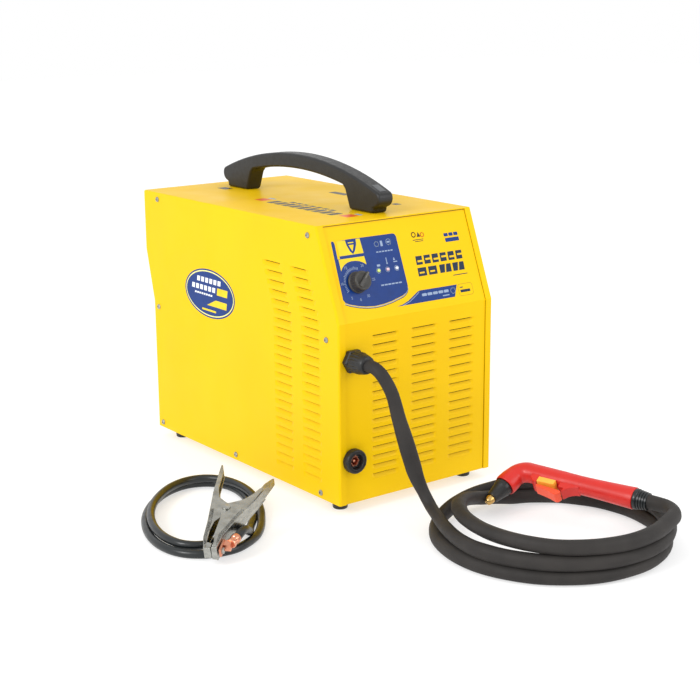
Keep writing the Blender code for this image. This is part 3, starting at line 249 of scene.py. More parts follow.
def surface(name, colour, roughness, *, metallic=0.0, other=None, mottle=30.0, uneven=0.06,
            grain=0.08, grain_scale=900.0, stretch=(1, 1, 1), specular=0.5, coat=0.0, weave=False):
    """A procedural finish: two mottled colours, uneven gloss and a fine bump.

    weave gives crossing ribs instead, along the piece's UV map in metres.
    """
    title = f"finish_{name}"
    if title in bpy.data.materials:
        return bpy.data.materials[title]
    mat = bpy.data.materials.new(title)
    mat.use_nodes = True
    tree = mat.node_tree
    shader = tree.nodes["Principled BSDF"]
    shader.inputs["Metallic"].default_value = metallic
    shader.inputs["Specular IOR Level"].default_value = specular
    shader.inputs["Coat Weight"].default_value = coat
    shader.inputs["Coat Roughness"].default_value = 0.12
    shader.inputs["Base Color"].default_value = linear(colour)
    shader.inputs["Roughness"].default_value = roughness

    place = tree.nodes.new("ShaderNodeTexCoord")
    mapping = add_node(tree, "ShaderNodeMapping", Scale=stretch)
    tree.links.new(place.outputs["Object"], mapping.inputs["Vector"])
    vector = mapping.outputs["Vector"]
    mix = tree.nodes.new("ShaderNodeMix")
    mix.data_type = "RGBA"
    mix.inputs[6].default_value = linear(colour)
    mix.inputs[7].default_value = linear(other or tuple(0.93 * value for value in colour))
    tree.links.new(map_noise(tree, vector, mottle, 0.0, 1.0, 3.0), mix.inputs["Factor"])
    tree.links.new(mix.outputs[2], shader.inputs["Base Color"])
    tree.links.new(map_noise(tree, vector, mottle * 2.3, max(0.02, roughness - uneven), roughness + uneven),
                   shader.inputs["Roughness"])

    height = None
    if weave:
        height = weave_height(tree, place.outputs["UV"])
    elif grain > 0:
        texture = add_node(tree, "ShaderNodeTexNoise", Scale=grain_scale, Detail=2.0)
        tree.links.new(vector, texture.inputs["Vector"])
        height = texture.outputs["Fac"]
    if height is not None:
        bump = add_node(tree, "ShaderNodeBump", Strength=grain, Distance=0.0004)
        tree.links.new(height, bump.inputs["Height"])
        tree.links.new(bump.outputs["Normal"], shader.inputs["Normal"])
    return mat


def weave_height(tree, uv):
    """Crossing diagonal ribs of a woven jacket, about 1.2 mm apart."""
    waves = []
    for direction in (1, -1):
        turned_uv = add_node(tree, "ShaderNodeMapping", Rotation=(0, 0, direction * math.radians(38)))
        wave = add_node(tree, "ShaderNodeTexWave", Scale=130.0)
        tree.links.new(uv, turned_uv.inputs["Vector"])
        tree.links.new(turned_uv.outputs["Vector"], wave.inputs["Vector"])
        waves.append(wave.outputs["Fac"])
    join = tree.nodes.new("ShaderNodeMath")
    join.operation = "MAXIMUM"
    tree.links.new(waves[0], join.inputs[0])
    tree.links.new(waves[1], join.inputs[1])
    return join.outputs["Value"]


# Finish of each material slot: colour, roughness and the settings that differ from the usual ones.
SLOT_FINISHES = {
    "yellow_paint": ((236, 192, 2), 0.40, dict(other=(232, 187, 2), mottle=7.0, grain=0.10,
                                               grain_scale=700.0, specular=0.12)),
    "black_plastic": ((27, 27, 27), 0.40, dict(other=(21, 21, 21), mottle=60.0, grain=0.35,
                                               grain_scale=1400.0, specular=0.45)),
    "black_rubber": ((24, 29, 31), 0.34, dict(other=(19, 23, 25), mottle=45.0, grain=0.15,
                                              grain_scale=500.0)),
    "cable_sleeve": ((54, 51, 49), 0.60, dict(other=(42, 40, 39), mottle=18.0, grain=0.35,
                                              specular=0.20, weave=True)),
    "red_plastic": ((206, 40, 32), 0.38, dict(other=(198, 36, 29), mottle=40.0, grain=0.20,
                                              grain_scale=1200.0, specular=0.4)),
    "orange_plastic": ((240, 78, 36), 0.36, dict(other=(234, 72, 32), mottle=60.0, grain=0.15,
                                                 grain_scale=1200.0)),
    "amber_plastic": ((252, 182, 66), 0.34, dict(other=(248, 174, 60), mottle=60.0, grain=0.15,
                                                 grain_scale=1200.0)),
    "brass": ((214, 180, 112), 0.30, dict(metallic=1.0, other=(190, 150, 88), mottle=120.0,
                                          grain=0.2, stretch=(1, 1, 6))),
    "copper": ((226, 160, 132), 0.32, dict(metallic=1.0, other=(206, 138, 110), mottle=90.0, grain=0.2)),
    "zinc_steel": ((176, 176, 170), 0.30, dict(metallic=1.0, other=(146, 146, 141), mottle=70.0,
                                               uneven=0.10, grain=0.10, grain_scale=600.0,
                                               stretch=(1, 1, 3))),
    "bare_aluminium": ((205, 206, 208), 0.42, dict(metallic=1.0, other=(186, 187, 190), mottle=50.0,
                                                   grain=0.3, grain_scale=500.0)),
    "led_green": ((196, 222, 96), 0.16, dict(other=(214, 236, 120), mottle=400.0, grain=0.0, coat=0.6)),
    "led_red": ((226, 196, 206), 0.16, dict(other=(214, 178, 190), mottle=400.0, grain=0.0, coat=0.6)),
    "led_white": ((214, 218, 230), 0.16, dict(other=(226, 230, 238), mottle=400.0, grain=0.0, coat=0.6)),
    "circuit_board": ((28, 104, 62), 0.40, dict(other=(22, 88, 52), mottle=160.0, grain=0.3,
                                                grain_scale=350.0)),
    "cast_grey": ((112, 114, 118), 0.55, dict(metallic=0.6, other=(98, 100, 104), mottle=60.0,
                                              grain=0.6, grain_scale=420.0)),
}


def ink(name, colour):
    """Printed film on the case."""
    return surface(f"ink_{name}", colour, 0.34, mottle=80.0, uneven=0.04, grain=0.05, specular=0.22)


# ---------------------------------------------------------------- object and shape helpers
def face_outwards(bm):
    """Turn every face of a closed shape outwards."""
    bmesh.ops.recalc_face_normals(bm, faces=bm.faces)
    if bm.calc_volume(signed=True) < 0:
        bmesh.ops.reverse_faces(bm, faces=bm.faces)


def add_piece(name, bm, slot, body="unit", mat=None, smooth=None, place=None, replaces=()):
    """A mesh piece riding on a body; place moves it from its own frame into the world."""
    if place is not None:
        bm.transform(place)
    mesh = bpy.data.meshes.new(name)
    bm.to_mesh(mesh)
    bm.free()
    if smooth is not None:
        mesh.shade_smooth()
        mesh.set_sharp_from_angle(angle=math.radians(smooth))
    mesh.materials.append(mat or FINISHES[slot])
    obj = bpy.data.objects.new(name, mesh)
    bpy.context.scene.collection.objects.link(obj)
    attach(obj, body)
    if replaces:
        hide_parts(*replaces)
    return obj


def round_edges(obj, width, segments, angle):
    """Rounded edges with even shading on the flats beside them."""
    bevel = obj.modifiers.new("round", "BEVEL")
    bevel.width = width
    bevel.segments = segments
    bevel.limit_method = "ANGLE"
    bevel.angle_limit = math.radians(angle)
    bevel.use_clamp_overlap = True
    obj.data.shade_smooth()
    weighted = obj.modifiers.new("even_shading", "WEIGHTED_NORMAL")
    weighted.keep_sharp = True
    return obj


def merged(parts):
    """One bmesh holding several closed shapes."""
    whole = bmesh.new()
    for part in parts:
        mesh = bpy.data.meshes.new("part")
        part.to_mesh(mesh)
        part.free()
        whole.from_mesh(mesh)
        bpy.data.meshes.remove(mesh)
    return whole


def prism(outline, axis, low, high):
    """A closed outline in the two other axes (in X, Y, Z order), extruded along the axis."""
    place = {"X": lambda a, b, t: (t, a, b),
             "Y": lambda a, b, t: (a, t, b),
             "Z": lambda a, b, t: (a, b, t)}[axis]
    bm = bmesh.new()
    lower = [bm.verts.new(place(a, b, low)) for a, b in outline]
    upper = [bm.verts.new(place(a, b, high)) for a, b in outline]
    bm.faces.new(lower)
    bm.faces.new(upper)
    for i in range(len(outline)):
        j = (i + 1) % len(outline)
        bm.faces.new((lower[i], lower[j], upper[j], upper[i]))
    face_outwards(bm)
    return bm


def box(low, high):
    """An axis-aligned block between two corners."""
    outline = [(low[0], low[1]), (high[0], low[1]), (high[0], high[1]), (low[0], high[1])]
    return prism(outline, "Z", low[2], high[2])


def turned(profile, segments, centre=(0, 0, 0), axis="Z", closed=False, flutes=None):
    """A profile of (radius, distance along the axis) turned round.

    closed makes a ring; flutes is (count, depth, lowest, highest) of grooves along the axis.
    """
    turn = {"X": Matrix.Rotation(math.radians(90), 4, "Y"),
            "Y": Matrix.Rotation(math.radians(-90), 4, "X"),
            "Z": Matrix.Identity(4)}[axis]
    bm = bmesh.new()
    rings = []
    for radius, height in profile:
        if radius < 1e-6:
            rings.append([bm.verts.new((0, 0, height))])
            continue
        ring = []
        for k in range(segments):
            angle = 2 * math.pi * k / segments
            grooved = radius
            if flutes and flutes[2] <= height <= flutes[3]:
                grooved -= flutes[1] * (0.5 - 0.5 * math.cos(flutes[0] * angle)) ** 2
            ring.append(bm.verts.new((grooved * math.cos(angle), grooved * math.sin(angle), height)))
        rings.append(ring)
    pairs = list(zip(rings, rings[1:]))
    if closed:
        pairs.append((rings[-1], rings[0]))
    for first, second in pairs:
        for k in range(segments):
            n = (k + 1) % segments
            corners = [first[k % len(first)], first[n % len(first)],
                       second[n % len(second)], second[k % len(second)]]
            bm.faces.new(list(dict.fromkeys(corners)))
    if not closed:
        for ring in (rings[0], rings[-1]):
            if len(ring) > 1:
                bm.faces.new(ring)
    bm.transform(Matrix.Translation(Vector(centre)) @ turn)
    face_outwards(bm)
    return bm


def loft(rings):
    """Closed skin over rings of equal point count, with flat ends."""
    bm = bmesh.new()
    loops = [[bm.verts.new(point) for point in ring] for ring in rings]
    for first, second in zip(loops, loops[1:]):
        for k in range(len(first)):
            n = (k + 1) % len(first)
            bm.faces.new((first[k], first[n], second[n], second[k]))
    bm.faces.new(loops[0])
    bm.faces.new(loops[-1])
    face_outwards(bm)
    return bm


def frame_matrix(origin, x_axis, y_axis):
    """Places a flat drawing whose X and Y run along the given directions."""
    x_axis, y_axis = Vector(x_axis).normalized(), Vector(y_axis).normalized()
    turn = Matrix((x_axis, y_axis, x_axis.cross(y_axis))).transposed().to_4x4()
    return Matrix.Translation(Vector(origin)) @ turn


SLOPE = frame_matrix(SLOPE_ORIGIN, (1, 0, 0), SLOPE_UP)


def along_matrix(start, direction):
    """Places a shape turned about Z so that it runs from a point along a direction."""
    turn = Vector(direction).to_track_quat("Z", "Y").to_matrix().to_4x4()
    return Matrix.Translation(Vector(start)) @ turn


def smooth_route(points, spacing):
    """Points at even spacing along a smooth curve through the route's own points."""
    route = np.array([tuple(p) for p in points], dtype=float)
    padded = np.vstack([2 * route[0] - route[1], route, 2 * route[-1] - route[-2]])
    samples = []
    for i in range(len(route) - 1):
        a, b, c, d = padded[i:i + 4]
        for t in np.linspace(0.0, 1.0, 24, endpoint=False):
            samples.append(0.5 * (2 * b + (c - a) * t + (2 * a - 5 * b + 4 * c - d) * t ** 2
                                  + (3 * b - a - 3 * c + d) * t ** 3))
    samples.append(route[-1])
    samples = np.array(samples)
    steps = np.concatenate([[0.0], np.cumsum(np.linalg.norm(np.diff(samples, axis=0), axis=1))])
    count = max(2, int(round(steps[-1] / spacing)) + 1)
    wanted = np.linspace(0.0, steps[-1], count)
    return [Vector([float(np.interp(w, steps, samples[:, axis])) for axis in range(3)])
            for w in wanted]


def thinned(points, step):
    """Every so many points of a line, with its last point kept."""
    return points[:-1:step] + [points[-1]]


def tube(points, radius_at, sides):
    """Round skin along the points, with a UV map in metres; radius_at takes distance and angle."""
    bm = bmesh.new()
    uv_layer = bm.loops.layers.uv.new("UVMap")
    tangents = [(points[min(i + 1, len(points) - 1)] - points[max(i - 1, 0)]).normalized()
                for i in range(len(points))]
    across = tangents[0].orthogonal().normalized()
    rings, distances, distance = [], [], 0.0
    for i, (point, tangent) in enumerate(zip(points, tangents)):
        if i:
            distance += (point - points[i - 1]).length
            across = (across - tangent * across.dot(tangent)).normalized()
        other = tangent.cross(across)
        ring = []
        for k in range(sides):
            angle = 2 * math.pi * k / sides
            radius = radius_at(distance, angle)
            ring.append(bm.verts.new(point + across * (radius * math.cos(angle))
                                     + other * (radius * math.sin(angle))))
        rings.append(ring)
        distances.append(distance)
    girth = 2 * math.pi * radius_at(0.0, 0.0)
    for i in range(len(rings) - 1):
        for k in range(sides):
            n = (k + 1) % sides
            face = bm.faces.new((rings[i][k], rings[i][n], rings[i + 1][n], rings[i + 1][k]))
            corners = ((i, k), (i, k + 1), (i + 1, k + 1), (i + 1, k))
            for loop, (row, column) in zip(face.loops, corners):
                loop[uv_layer].uv = (distances[row], girth * column / sides)
    bm.faces.new(rings[0][::-1])
    bm.faces.new(rings[-1])
    face_outwards(bm)
    return bm


# ---------------------------------------------------------------- torch cable
def torch_axes():
    """Frame of the torch (+X along the grip, +Z out of its back), grip and tip length, bend."""
    elbow, tail, tip = at(*TORCH_ELBOW), at(*TORCH_TAIL), at(*TORCH_TIP)
    along = (tail - elbow).normalized()
    head = (tip - elbow).normalized()
    back = -(head - along * head.dot(along)).normalized()
    side = back.cross(along)
    place = Matrix.Translation(elbow) @ Matrix((along, side, back)).transposed().to_4x4()
    bend = math.atan2(-head.dot(back), head.dot(along))
    return place, (tail - elbow).length, (tip - elbow).length, bend


def torch_coil_route():
    """Centre line of the coil: the cable lands on the lower turn, dives under itself, then climbs."""
    # angle; centre x, centre behind the front, radius and height in millimetres
    turns = np.array([
        (130, 40, -253, 174, 35), (142, 41, -252.5, 164, 33), (160, 37, -252, 157, 31.4),
        (185, 31, -251.5, 156, 30.6), (260, 30.5, -251.5, 156, 30.6), (425, 31, -253, 155.5, 30.6),
        (460, 30, -252, 157, 21.5), (492, 29.5, -250, 158, 11.2), (530, 29.5, -250, 154.5, 10.5),
        (755, 29.5, -250, 154, 10.5), (790, 30, -252, 146, 13), (815, 35, -255, 137, 26),
        (840, 38, -258, 137, 42), (862, 40, -259, 140, 50), (890, 40, -259, 144, 51.2),
        (920, 37.5, -259, 148, 51.4), (945, 34.5, -259, 152.5, 51.4), (980, 37, -259, 151.5, 51.2),
        (1020, 43, -257.5, 147, 51.2)])
    points = []
    for angle in np.arange(149.0, 1004.1, 9.0):
        x, behind, radius, height = (np.interp(angle, turns[:, 0], turns[:, i]) / 1000
                                     for i in range(1, 5))
        points.append(at(x + radius * math.cos(math.radians(angle)),
                         behind + radius * math.sin(math.radians(angle)), height))
    return points


def make_torch_cable():
    """One woven-jacketed cable from the gland through the whole coil to the torch."""
    drop = places([
        (-121, -36.6, 229), (-121, -42, 229), (-120.5, -52, 228), (-117, -64, 219), (-109, -75, 194),
        (-103, -83, 158), (-97, -89, 129), (-91, -95, 100), (-86, -101, 75.5), (-80, -109, 54.5),
        (-79.5, -119.5, 42.5), (-84, -134, 36.5)])
    place, grip_length, _, _ = torch_axes()
    axis = place.to_3x3() @ Vector((1, 0, 0))
    end = place @ Vector((grip_length + 0.0206, 0, 0))
    ending = places([(118, -386.6, 52), (129.8, -379.6, 52.5), (137.8, -369.1, 53.2),
                     (141.6, -355.9, 53.8)])
    ending += [end + axis * 0.010, end + axis * 0.003, end - axis * 0.004]
    points = smooth_route(drop + torch_coil_route() + ending, 0.005)
    radius = TORCH_CABLE_DIAMETER / 2

    # distance from the gland and width of the loose jacket there, against its mean
    fullness = np.array([(0.0, 0.80), (0.05, 0.84), (0.10, 0.94), (0.14, 1.12), (0.17, 1.10),
                         (0.205, 0.86), (0.25, 0.82), (0.30, 0.92), (0.40, 1.0), (5.0, 1.0)])

    def sleeve(distance, angle):
        """The loose jacket is slightly oval and its width wanders along the cable."""
        flat = 0.05 * math.cos(2 * angle + 9.0 * distance)
        ripple = 0.05 * noise.noise(Vector((distance * 22.0, math.cos(angle), math.sin(angle))))
        return radius * (np.interp(distance, fullness[:, 0], fullness[:, 1]) + flat + ripple)

    cable = add_piece("torch_cable_sleeve", tube(points, sleeve, 24), "cable_sleeve", smooth=60,
                      replaces=("torch_cable", "torch_coil", "torch_cable_end"))
    return cable, points


# ---------------------------------------------------------------- earth cable
def oval_point(angle, inset, height):
    """A point above the oval coil's centre line, moved inwards by the inset."""
    along = Vector((math.cos(OVAL_HEADING), math.sin(OVAL_HEADING)))
    across = Vector((-along.y, along.x))
    point = (Vector(OVAL_CENTRE) + along * ((OVAL_OUTER[0] - inset) * math.cos(angle))
             + across * ((OVAL_OUTER[1] - inset) * math.sin(angle)))
    return at(point.x, point.y, height)


def clamp_place():
    """Frame of the clamp: +X from the jaw tips to the handles, +Z out of its side."""
    turn = Matrix.Rotation(CLAMP_HEADING, 4, "Z") @ Matrix.Rotation(-CLAMP_TILT, 4, "Y")
    return Matrix.Translation(at(*CLAMP_TIP)) @ turn


def make_earth_cable():
    """Rubber cable from the clamp's lug, round the oval coil to the plug."""
    place = clamp_place()
    heading = Vector((math.cos(LUG_SPLAY), -math.sin(LUG_SPLAY), 0))
    lug_end = place @ (LUG_FOOT + heading * 0.0233)
    lug_heading = place.to_3x3() @ heading
    plug_heading = Vector((math.cos(PLUG_HEADING), math.sin(PLUG_HEADING), 0))
    plug_start = at(*PLUG_REAR, PLUG_RADIUS + GAP)
    # angle; inset and height of the coil's centre line in millimetres
    turns = np.array([
        (248, 0, 6.3), (300, -1, 6.3), (340, -10, 6.3), (380, -10, 6.3), (420, -6, 6.3), (470, -5, 6.3),
        (540, -8, 6.3), (558, -12, 6.3), (575, -18, 6.3), (600, -18, 6.3), (620, -12.5, 6.6),
        (640, -10, 12.5), (660, -6, 16.5), (700, -3, 16.5), (740, -2, 16), (780, 2, 16), (830, 3, 15.8),
        (880, 3, 14.5)])
    coil = []
    for angle in np.arange(250.0, 880.1, 12.0):
        inset, height = (np.interp(angle, turns[:, 0], turns[:, i]) / 1000 for i in (1, 2))
        coil.append(oval_point(math.radians(angle), inset, height))
    start = [lug_end - lug_heading * 0.004, lug_end + lug_heading * 0.004]
    start += places([(-336.2, -36, 34.8), (-325.5, -28.5, 33.5), (-312, -15, 25), (-299, 3, 15),
                     (-288, 18, 8.5)])
    ending = places([(-393.2, 18.4, 14), (-381.4, 7.6, 13.2), (-366.1, 3.3, 12.4), (-350.2, 7, 12.5),
                     (-339.8, 16.5, 13.6)])
    ending += [plug_start + plug_heading * distance for distance in (-0.010, -0.004, 0.002)]
    points = smooth_route(start + coil + ending, 0.004)
    skin = tube(points, lambda distance, angle: EARTH_CABLE_DIAMETER / 2, 20)
    cable = add_piece("earth_cable_rubber", skin, "black_rubber", smooth=60,
                      replaces=("earth_coil", "earth_cable_clamp_end", "earth_cable_plug_end"))
    return cable, points


# ---------------------------------------------------------------- louvres
def scoop(length):
    """One pressed scoop, seen from outside: X along the slot, Y up, Z out; zero at the slot's top."""
    overlap = 0.0006
    columns = [-0.5 * length - overlap + (length + 2 * overlap) * k / 24 for k in range(25)]
    steps = [0.0, 0.10, 0.22, 0.40, 0.60, 0.80, 0.93, 1.0]
    ring_rows = []
    for x in columns:
        ramp = min(1.0, max(0.0, (0.5 * length - abs(x)) / SCOOP_RAMP))
        ramp = ramp * ramp * (3 - 2 * ramp)
        low = -LOUVRE_HEIGHT - overlap
        high = -0.0002 - SCOOP_DROP * ramp + overlap * (1 - ramp)
        front = []
        for step in steps:
            curve = step * step * (3 - 2 * step) * 0.35 + step * 0.65
            front.append(Vector((x, low + (high - low) * step, -0.0001 - SCOOP_DEPTH * ramp * curve)))
        back = [point - Vector((0, 0, 0.0009)) for point in reversed(front)]
        ring_rows.append(front + back)
    return loft(ring_rows)


def front_louvre_places():
    """Where the front panel's scoops sit."""
    for centre in FRONT_LOUVRES["columns"]:
        for row in range(FRONT_LOUVRES["rows"]):
            top = CASE_BOTTOM + FRONT_LOUVRES["low"] + row * LOUVRE_PITCH
            yield frame_matrix((centre, FRONT_Y + FACE_RECESS, top), (1, 0, 0), (0, 0, 1))


def side_louvre_places(side):
    """Where one side's scoops sit; the columns lean back with the sloping panel."""
    for column in SIDE_LOUVRES["columns"]:
        for row in range(SIDE_LOUVRES["rows"]):
            height = SIDE_LOUVRES["low"] + row * LOUVRE_PITCH
            behind = column + SLOPE_LEAN * max(0.0, height - SLOPE_START)
            yield frame_matrix((side * HALF, FRONT_Y + behind, CASE_BOTTOM + height),
                               (0, side, 0), (0, 0, 1))


def make_louvres():
    """Pressed scoops of the front panel and both sides."""
    sets = {"front_louvre_scoops": (front_louvre_places(), FRONT_LOUVRES["length"]),
            "left_louvre_scoops": (side_louvre_places(-1), SIDE_LOUVRES["length"]),
            "right_louvre_scoops": (side_louvre_places(1), SIDE_LOUVRES["length"])}
    for name, (slots, length) in sets.items():
        scoops = []
        for place in slots:
            one = scoop(length)
            one.transform(place)
            scoops.append(one)
        add_piece(name, merged(scoops), "yellow_paint", smooth=45)


def make_louvre_shade_sheets():
    """Dark sheets just behind the louvred areas: painted shade for the dark inside of the case, seen
    through the slots.
    """
    low, high = CASE_BOTTOM + 0.022, CASE_BOTTOM + 0.255
    sheets = [box((-0.092, FRONT_Y + 0.0120, low), (0.117, FRONT_Y + 0.0128, high))]
    for side in (-1, 1):
        near, far = sorted((side * (HALF - 0.0100), side * (HALF - 0.0108)))
        outline = [(FRONT_Y + 0.038, low), (FRONT_Y + 0.166, low), (FRONT_Y + 0.196, 0.352),
                   (FRONT_Y + 0.072, 0.352)]
        sheets.append(prism(outline, "X", near, far))
    # the sheets' dark colour is painted shade for the inside of the case
    add_piece("louvre_shade_sheets", merged(sheets), "black_plastic",
              mat=surface("painted_interior_shade", (46, 42, 34), 0.9, mottle=300.0, grain=0.8, grain_scale=700.0))


# ---------------------------------------------------------------- flat printed shapes
def rounded(x0, y0, x1, y1, radius):
    """A rectangle with rounded corners."""
    steps = 4
    points = []
    for cx, cy, start in ((x1 - radius, y0 + radius, -90), (x1 - radius, y1 - radius, 0),
                          (x0 + radius, y1 - radius, 90), (x0 + radius, y0 + radius, 180)):
        for k in range(steps + 1):
            angle = math.radians(start + 90 * k / steps)
            points.append((cx + radius * math.cos(angle), cy + radius * math.sin(angle)))
    return points


def oval(cx, cy, rx, ry, count=48):
    """An ellipse as a closed outline."""
    return [(cx + rx * math.cos(2 * math.pi * k / count), cy + ry * math.sin(2 * math.pi * k / count))
            for k in range(count)]


def stroke(points, width, closed=False):
    """Quads that draw a line of the given width through the points."""
    points = [Vector(p) for p in points]
    if closed:
        points.append(points[0])
    shapes = []
    for a, b in zip(points, points[1:]):
        along = (b - a).normalized()
        aside = Vector((-along.y, along.x)) * width / 2
        over = along * width * 0.35
        shapes.append([tuple(a - over + aside), tuple(a - over - aside),
                       tuple(b + over - aside), tuple(b + over + aside)])
    return shapes


def hoop(cx, cy, outer, inner, count=32):
    """A flat ring as one thin stroke."""
    middle = (outer + inner) / 2
    return stroke(oval(cx, cy, middle, middle, count), outer - inner, closed=True)


FILM_BASE = 0.00001          # how far a printed film starts above its surface
NUMERAL_BASE = 0.00019
NUMERAL_SIZE = 0.0056


def print_film(name, shapes, colour, place=SLOPE, top=0.12):
    """Flat shapes as a thin film on the surface that place puts them on, all in millimetres."""
    bm = merged([prism(millimetres(outline), "Z", FILM_BASE, top / 1000) for outline in shapes])
    return add_piece(name, bm, "yellow_paint", mat=ink(*colour), place=place)


INK_BLUE = ("blue", (8, 52, 122))
INK_NAVY = ("navy", (22, 42, 66))
INK_YELLOW = ("yellow", (236, 206, 26))
INK_PALE = ("pale", (146, 164, 192))
INK_ORANGE = ("orange", (232, 96, 40))
INK_BLACK = ("black", (52, 48, 40))
INK_GREY = ("grey", (150, 128, 30))


def numeral(text, size, centre):
    """A dial number as a flat mesh, centred on a point."""
    curve = bpy.data.curves.new("numeral", "FONT")
    curve.body = text
    curve.size = size
    curve.align_x = "CENTER"
    curve.align_y = "CENTER"
    curve.extrude = 0.00002
    carrier = bpy.data.objects.new("numeral", curve)
    bpy.context.scene.collection.objects.link(carrier)
    bpy.context.view_layer.update()
    mesh = bpy.data.meshes.new_from_object(carrier)
    bm = bmesh.new()
    bm.from_mesh(mesh)
    bm.transform(Matrix.Translation((*centre, NUMERAL_BASE)))
    bpy.data.objects.remove(carrier)
    bpy.data.curves.remove(curve)
    bpy.data.meshes.remove(mesh)
    return bm


def make_label_ground():
    """Blue label behind the knob and lamps, with its pale lower rim."""
    outline = [
        (-123.5, 117), (-121.5, 118.6), (-119, 117.5), (-118, 114), (-118.6, 92),
        (-114.5, 92), (-114.5, 117.5), (-94, 118.5), (-12.5, 118.3), (-9, 117), (-7.2, 113.5),
        (-6.7, 39.7), (-8.6, 33.3), (-13.5, 29.3), (-20, 26.5), (-42, 21.3), (-58, 19),
        (-73, 18.3), (-88, 19.6), (-102, 22.3), (-116, 26.4), (-122.5, 29.2), (-125.5, 34)]
    print_film("label_base", [outline], INK_BLUE, top=0.1)
    rim = [(-7.4, 36.5), (-9.8, 31.6), (-14.5, 27.6), (-20.5, 24.9), (-42.2, 19.8),
           (-58, 17.5), (-73, 16.8), (-88.2, 18.1), (-102.4, 20.9), (-116.4, 25),
           (-123.5, 28.2)]
    print_film("label_rim", stroke(rim, 1), INK_PALE, top=0.08)
    under = [(x, y - 1.2) for x, y in rim]
    print_film("label_rim_shadow", stroke(under, 0.9), INK_NAVY, top=0.07)


def make_label_picture():
    """Yellow picture in the label's corner, and a band curving over the knob."""
    picture = [(-114.5, 96), (-71.5, 96), (-72.8, 117.6), (-114.5, 117.6)]
    band = [(-117.5, 91.5), (-72, 91.5), (-71, 79), (-76, 82.5), (-82, 85.2),
            (-89, 86.6), (-96, 86.9), (-103, 85.8), (-109.5, 83), (-114.5, 79),
            (-117.5, 74.5)]
    print_film("label_picture", [picture, band], INK_YELLOW, top=0.14)
    emblem = [[(-99, 117.6), (-80, 117.6), (-81, 110), (-85.5, 101), (-90, 96.5),
               (-94.5, 101), (-98, 110)]]
    print_film("label_emblem", emblem, INK_BLUE, top=0.18)
    flame = [[(-94.5, 110), (-85.5, 110), (-90, 100.5)], rounded(-95, 112.5, -85, 114, 0.5)]
    print_film("label_flame", flame, INK_YELLOW, top=0.21)


def make_label_marks():
    """The knob's scale and numbers, and generic marks above and below the lamps."""
    marks = []
    for degrees in range(72, 215, 6):
        angle = math.radians(degrees)
        long = degrees % 30 == 0
        inner, outer = 19, 23.2 if long else 22.2
        marks += stroke([(1000 * KNOB_X + r * math.cos(angle), 1000 * KNOB_UP_SLOPE + r * math.sin(angle))
                         for r in (inner, outer)], 0.8)
    marks += hoop(-45.5, 106, 4.2, 3)
    marks += [rounded(-38.5, 102, -34.5, 110, 0.6)]
    marks += hoop(-23.5, 107, 4.8, 3.6)
    marks += [rounded(-26.2, 105.8, -20.8, 108.2, 0.6)]
    marks += [rounded(-49 + 5.2 * k, 93.5, -45 + 5.2 * k, 95.3, 0.5) for k in range(6)]
    marks += [rounded(-54 + 6.5 * k, 45, -48.6 + 6.5 * k, 47, 0.5) for k in range(6)]
    marks += [rounded(-53.5, 73.5, -47.5, 76.5, 1)]
    marks += [rounded(-35.2, 77.5, -33.8, 85, 0.6), oval(-34.5, 76.5, 1.4, 1.4, 16)]
    marks += [[(-20.5, 84), (-22.5, 79.5), (-18.5, 79.5)], rounded(-22.5, 76.5, -15.5, 78, 0.5)]
    for x in (-52.4, -35.8, -19.2):
        marks += hoop(x, 67.5, 4.1, 3.3, 24)
    print_film("label_marks", marks, INK_PALE, top=0.15)

    numbers = (("10", -121, 56.4), ("15", -108.9, 78.4), ("20", -79.3, 78.4), ("25", -64.8, 56.4),
               ("30", -80.5, 34.2), ("5", -109.5, 34.6), ("0", -95, 30.5))
    digits = merged([numeral(text, NUMERAL_SIZE, (x / 1000, y / 1000)) for text, x, y in numbers])
    add_piece("dial_numbers", digits, "yellow_paint", mat=ink(*INK_PALE), place=SLOPE)


def make_title_marks():
    """Generic blocks and bars on the yellow to the right of the label."""
    blocks = []
    for k in range(6):
        x = 18.5 + 15.4 * k
        blocks.append([(x, 67), (x + 11.8, 67), (x + 12.4, 80), (x + 0.6, 80)])
    for x, width in ((17.5, 16), (37.5, 16), (59, 22), (84.5, 22)):
        blocks.append([(x, 50), (x + width, 50), (x + width + 0.6, 62.5), (x + 0.6, 62.5)])
    blocks.append(rounded(82, 43.2, 110, 44.4, 0.4))
    print_film("title_blocks", blocks, INK_NAVY)
    cuts = []
    for k in range(6):
        x = 18.5 + 15.4 * k
        cuts.append(rounded(x + 2.8, 70.8 + 1.8 * (k % 2), x + 12.8, 73.6 + 1.8 * (k % 2), 0.4))
    for x in (17.5, 37.5):
        cuts.append(rounded(x + 3, 53.8, x + 12.2, 56.2, 0.4))
    for x in (59, 84.5):
        cuts.append([(x + 8.5, 49.8), (x + 10.8, 49.8), (x + 14, 62.7), (x + 11.7, 62.7)])
    print_film("title_cuts", cuts, ("paint_yellow", (236, 192, 2)), top=0.16)


def make_corner_marks():
    """Small generic marks along the top of the sloping panel."""
    corner = [rounded(82.5, 94.5, 109, 100.5, 0.8)]
    corner += [rounded(81.5 + 9.5 * k, 103, 89.5 + 9.5 * k, 108, 1.2) for k in range(3)]
    print_film("corner_blocks", corner, INK_BLUE)
    mark = hoop(25, 112, 4.2, 2.8)
    mark += [[(30.5, 108), (37.5, 108), (34, 115.5)]]
    mark += [rounded(21.5, 103.5, 42, 104.5, 0.4), rounded(25.5, 101, 41, 102, 0.4)]
    print_film("small_mark", mark, INK_BLACK)
    print_film("small_mark_ring", hoop(41, 110.5, 3.6, 2.4), INK_ORANGE)


